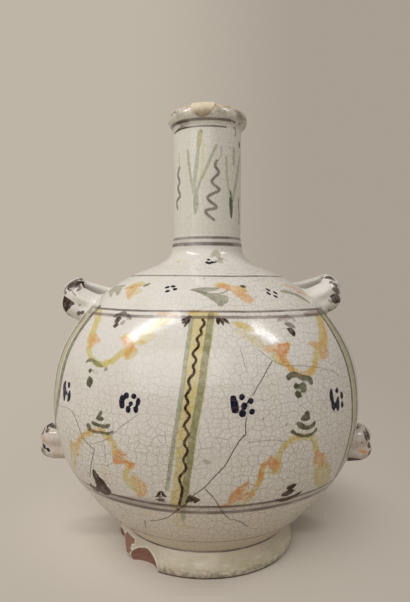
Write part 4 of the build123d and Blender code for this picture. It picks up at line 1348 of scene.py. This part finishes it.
def ball(name, middle, radius, roughness, seed, detail=5):
    """A rough ball, used to break a chip out of a piece."""
    random = np.random.default_rng(seed)
    waves = random.normal(size=(24, 3)) * 3.0
    phases = random.uniform(0, 2 * pi, 24)
    mesh = bpy.data.meshes.new(name)
    with edited(mesh) as shape:
        bmesh.ops.create_icosphere(shape, subdivisions=detail, radius=1.0)
        for vertex in shape.verts:
            direction = np.array(vertex.co)
            rough = np.sin(waves @ direction * 2.2 + phases).sum() / 24
            vertex.co = Vector(direction * (radius + roughness * rough * 3) * MM) + Vector(middle) * MM
    return placed(name, mesh)


def at_turn(turn, away, level):
    """The place at a turn in degrees, some way from the axis, in millimetres."""
    return away * sin(radians(turn)), -away * cos(radians(turn)), level


def finish_cut(mesh):
    """Splits a cut mesh's large faces and marks its sharp corners."""
    with edited(mesh) as shape:
        split_large(shape)
        mark_corners(shape)


def mark_bare(mesh):
    """Marks the faces without glaze: the chips, the standing face and the flaked patch between the chips."""
    skin_tolerance, standing_level = 0.45, 0.3
    flake_turn, flake_half_turn, flake_level, flake_half_height = -60.0, 6.6, 8.0, 4.6
    centres = np.empty(len(mesh.polygons) * 3, np.float32)
    mesh.polygons.foreach_get("center", centres)
    x, y, z = centres.reshape(-1, 3).astype(float).T / MM
    bare = (np.abs(np.hypot(x, y) - radius_at(z, foot_line)) > skin_tolerance) | (z < standing_level)
    ragged = 1.6 * np.sin(z * 1.3) + 0.9 * np.sin(z * 3.1 + 1.0)
    flaked = np.abs(np.degrees(np.arctan2(x, -y)) - flake_turn) < flake_half_turn + 0.6 * ragged
    store(mesh, "bare", bare | (flaked & (np.abs(z - flake_level) < flake_half_height)), "FACE")


def mark_broken_edge(mesh):
    """Writes how close each vertex lies to the glaze's broken edge, at the left and the front."""
    places = vertices_of(mesh)
    bare = np.empty(len(mesh.polygons), np.float32)
    mesh.attributes["bare"].data.foreach_get("value", bare)
    sides = np.zeros((len(places), 2))
    for face, is_bare in zip(mesh.polygons, bare > 0.5):
        sides[list(face.vertices), int(is_bare)] = 1
    border = np.nonzero((sides.min(axis=1) > 0) & (places[:, 2] > 0.6) & (places[:, 2] < 14.6))[0]
    near = np.nonzero((places[:, 1] < 0) & (places[:, 0] < 10))[0]
    distance = np.full(len(places), 9.0)
    for place in places[border]:
        distance[near] = np.minimum(distance[near], np.linalg.norm(places[near] - place, axis=1))
    store(mesh, "broken_edge", np.clip(1.6 - distance, 0, 1))


# Chips of the foot: radius, turn, distance of the middle from the axis, height and seed
foot_chips = {"front_chip": (17.0, -41.0, 70.5, 0.0, 4), "side_chip": (40.0, -73.0, 92.7, -10.0, 8)}


class FLASK_OT_foot_ring(bpy.types.Operator):
    """Make the chipped foot ring"""

    bl_idname = "flask.foot_ring"
    bl_label = "Foot ring"

    def execute(self, context):
        sizes, glaze = values_of(context)
        outside = evenly(foot_line, 0.7)
        bond_inner = bond_radius - bond_width
        under = evenly([(foot_inner_radius, 0.0), (foot_radius, 0.0)], 1.6)
        seat = evenly([(foot_top_radius, foot_height), (bond_radius, base_level)], 1.6)
        top = evenly([(bond_radius, base_level), (bond_inner, base_level)], 2.0)
        inside = evenly([(bond_inner, base_level), (foot_inner_radius, 0.0)], 1.2)
        line = np.concatenate([under[:-1], outside[:-1], seat[:-1], top[:-1], inside])
        free = np.zeros(len(line))
        free[len(under) + 1: len(under) + len(outside) - 3] = 0.8
        piece = thrown("foot_ring_glazed", line, free, 420, glaze, sizes, 3.0, depth=1.5)
        for name, (radius, turn, away, level, seed) in foot_chips.items():
            cut(piece, ball(name, at_turn(turn, away, level), radius, 0.35, seed, 6))
        mark_bare(piece.data)
        finish_cut(piece.data)
        lay_strokes(piece.data, strokes)
        mark_broken_edge(piece.data)
        dress(piece, "foot_ring")
        return {"FINISHED"}


def hold_within(mesh, reach):
    """Draws the vertices that stand farther than the reach from the axis back to it."""
    places = vertices_of(mesh)
    radius = np.hypot(places[:, 0], places[:, 1])
    places[:, :2] *= np.minimum(1.0, reach / np.maximum(radius, 1e-6))[:, None]
    mesh.vertices.foreach_set("co", (places * MM).astype(np.float32).ravel())
    mesh.update()


def make_bowl(name, node, outline, before, inside, seed, sizes, glaze):
    """A painted bowl. Only its outside, between the line before it and the inside, is free to wander."""
    outside = evenly(outline, sizes.cell / MM)
    line = np.concatenate([before, outside, inside])
    free = np.zeros(len(line))
    free[len(before): len(before) + len(outside)] = easing(len(outside))
    segments = int(round(2 * pi * belly_radius * MM / sizes.cell))
    piece = thrown(name, line, free, segments, glaze, sizes, seed)
    hold_within(piece.data, belly_radius - 0.001)
    lay_strokes(piece.data, strokes)
    lay_cracks(piece.data)
    dress(piece, node)


class FLASK_OT_globe(bpy.types.Operator):
    """Make the two thrown bowls of the globe, with their paint"""

    bl_idname = "flask.globe"
    bl_label = "Globe"

    def execute(self, context):
        values = values_of(context)
        floor_level = base_level + floor_thickness
        inside = wall_inside(lower_line, lower_wall)
        floor = [(44.2, floor_level), (0.0, floor_level)]
        inside = np.concatenate([inside[inside[:, 1] > floor_level + 4.0], floor])
        base = np.array([(0.0, base_level), (bond_radius, base_level)])
        make_bowl("lower_bowl_painted", "lower_bowl", lower_line, base, inside, 1.0, *values)
        inside = wall_inside(upper_line, upper_wall)[1:]
        inside = np.concatenate([[(bore_radius, neck_level)], inside, upper_line[:1]])
        make_bowl("upper_bowl_painted", "upper_bowl", upper_line, base[:0], inside, 2.0, *values)
        return {"FINISHED"}


def neck_form(name, top, material, sizes):
    """The whole neck with its rim, before the chip."""
    outside = evenly(neck_outline(top), 0.7)
    crown = evenly([(crown_radius, top), (mouth_radius, top)], 0.8)
    turns = np.linspace(pi / 2, pi, 9)
    mouth_level = top - mouth_depth
    away = mouth_radius + mouth_rounding * np.cos(turns)
    mouth = np.column_stack([away, mouth_level + mouth_depth * np.sin(turns)])
    bore = evenly([(bore_radius, mouth_level), (bore_radius, neck_level)], 6.0)
    line = np.concatenate([outside, crown[1:], mouth[1:], bore[1:], outside[:1]])
    free = np.zeros(len(line))
    free[: len(outside)] = np.minimum(easing(len(outside), 4), 0.7)
    return thrown(name, line, free, 240, material, sizes, 5.0, ring_spacing=5.0)


class FLASK_OT_neck(bpy.types.Operator):
    """Make the neck with its rolled rim, and the plaster in the rim's chip"""

    bl_idname = "flask.neck"
    bl_label = "Neck and repair"

    def execute(self, context):
        sizes, glaze = values_of(context)
        plaster = material_named("old_plaster", plaster_material, context.scene.flask_colours)
        chip = at_turn(-7.5, 24.9, rim_level - 1.6)
        neck = neck_form("neck_painted", rim_level, glaze, sizes)
        cut(neck, ball("rim_chip", chip, 7.8, 0.0, 1))
        repair = neck_form("rim_plaster", rim_level + 1.2, plaster, sizes)
        cut(repair, ball("rim_chip", chip, 7.78, 0.0, 1), "INTERSECT")
        for piece in (neck, repair):
            finish_cut(piece.data)
        lay_strokes(neck.data, strokes)
        dress(neck, "neck")
        dress(repair, "rim_repair")
        return {"FINISHED"}


class FLASK_OT_loops(bpy.types.Operator):
    """Make the four strap loops for the cord"""

    bl_idname = "flask.loops"
    bl_label = "Cord loops"

    def execute(self, context):
        sizes, glaze = values_of(context)
        for name, shape in loops.items():
            piece = strap_loop(name + "_glazed", sizes, **shape)
            piece.data.materials.append(glaze)
            lay_strokes(piece.data, loop_strokes[name], on_loop)
            store(piece.data, "strap", np.ones(len(piece.data.vertices)))
            dress(piece, name)
        return {"FINISHED"}


class FLASK_PT_panel(bpy.types.Panel):
    """The flask's operators and values"""

    bl_label = "Pilgrim flask"
    bl_idname = "FLASK_PT_panel"
    bl_space_type = "VIEW_3D"
    bl_region_type = "UI"
    bl_category = "Flask"

    def draw(self, context):
        for operator in operators:
            self.layout.operator(operator.bl_idname)
        for group in (context.scene.flask_sizes, context.scene.flask_colours):
            for name in group.__annotations__:
                self.layout.prop(group, name)


operators = (FLASK_OT_stage, FLASK_OT_foot_ring, FLASK_OT_globe, FLASK_OT_neck, FLASK_OT_loops)
classes = (FlaskSizes, FlaskColours, *operators, FLASK_PT_panel)


def register():
    for item in classes:
        bpy.utils.register_class(item)
    bpy.types.Scene.flask_sizes = PointerProperty(type=FlaskSizes)
    bpy.types.Scene.flask_colours = PointerProperty(type=FlaskColours)


def unregister():
    del bpy.types.Scene.flask_colours
    del bpy.types.Scene.flask_sizes
    for item in reversed(classes):
        bpy.utils.unregister_class(item)


def main():
    """Makes the stage and each piece."""
    register()
    bpy.ops.flask.stage()
    bpy.ops.flask.foot_ring()
    bpy.ops.flask.globe()
    bpy.ops.flask.neck()
    bpy.ops.flask.loops()


if __name__ == "__main__":
    main()
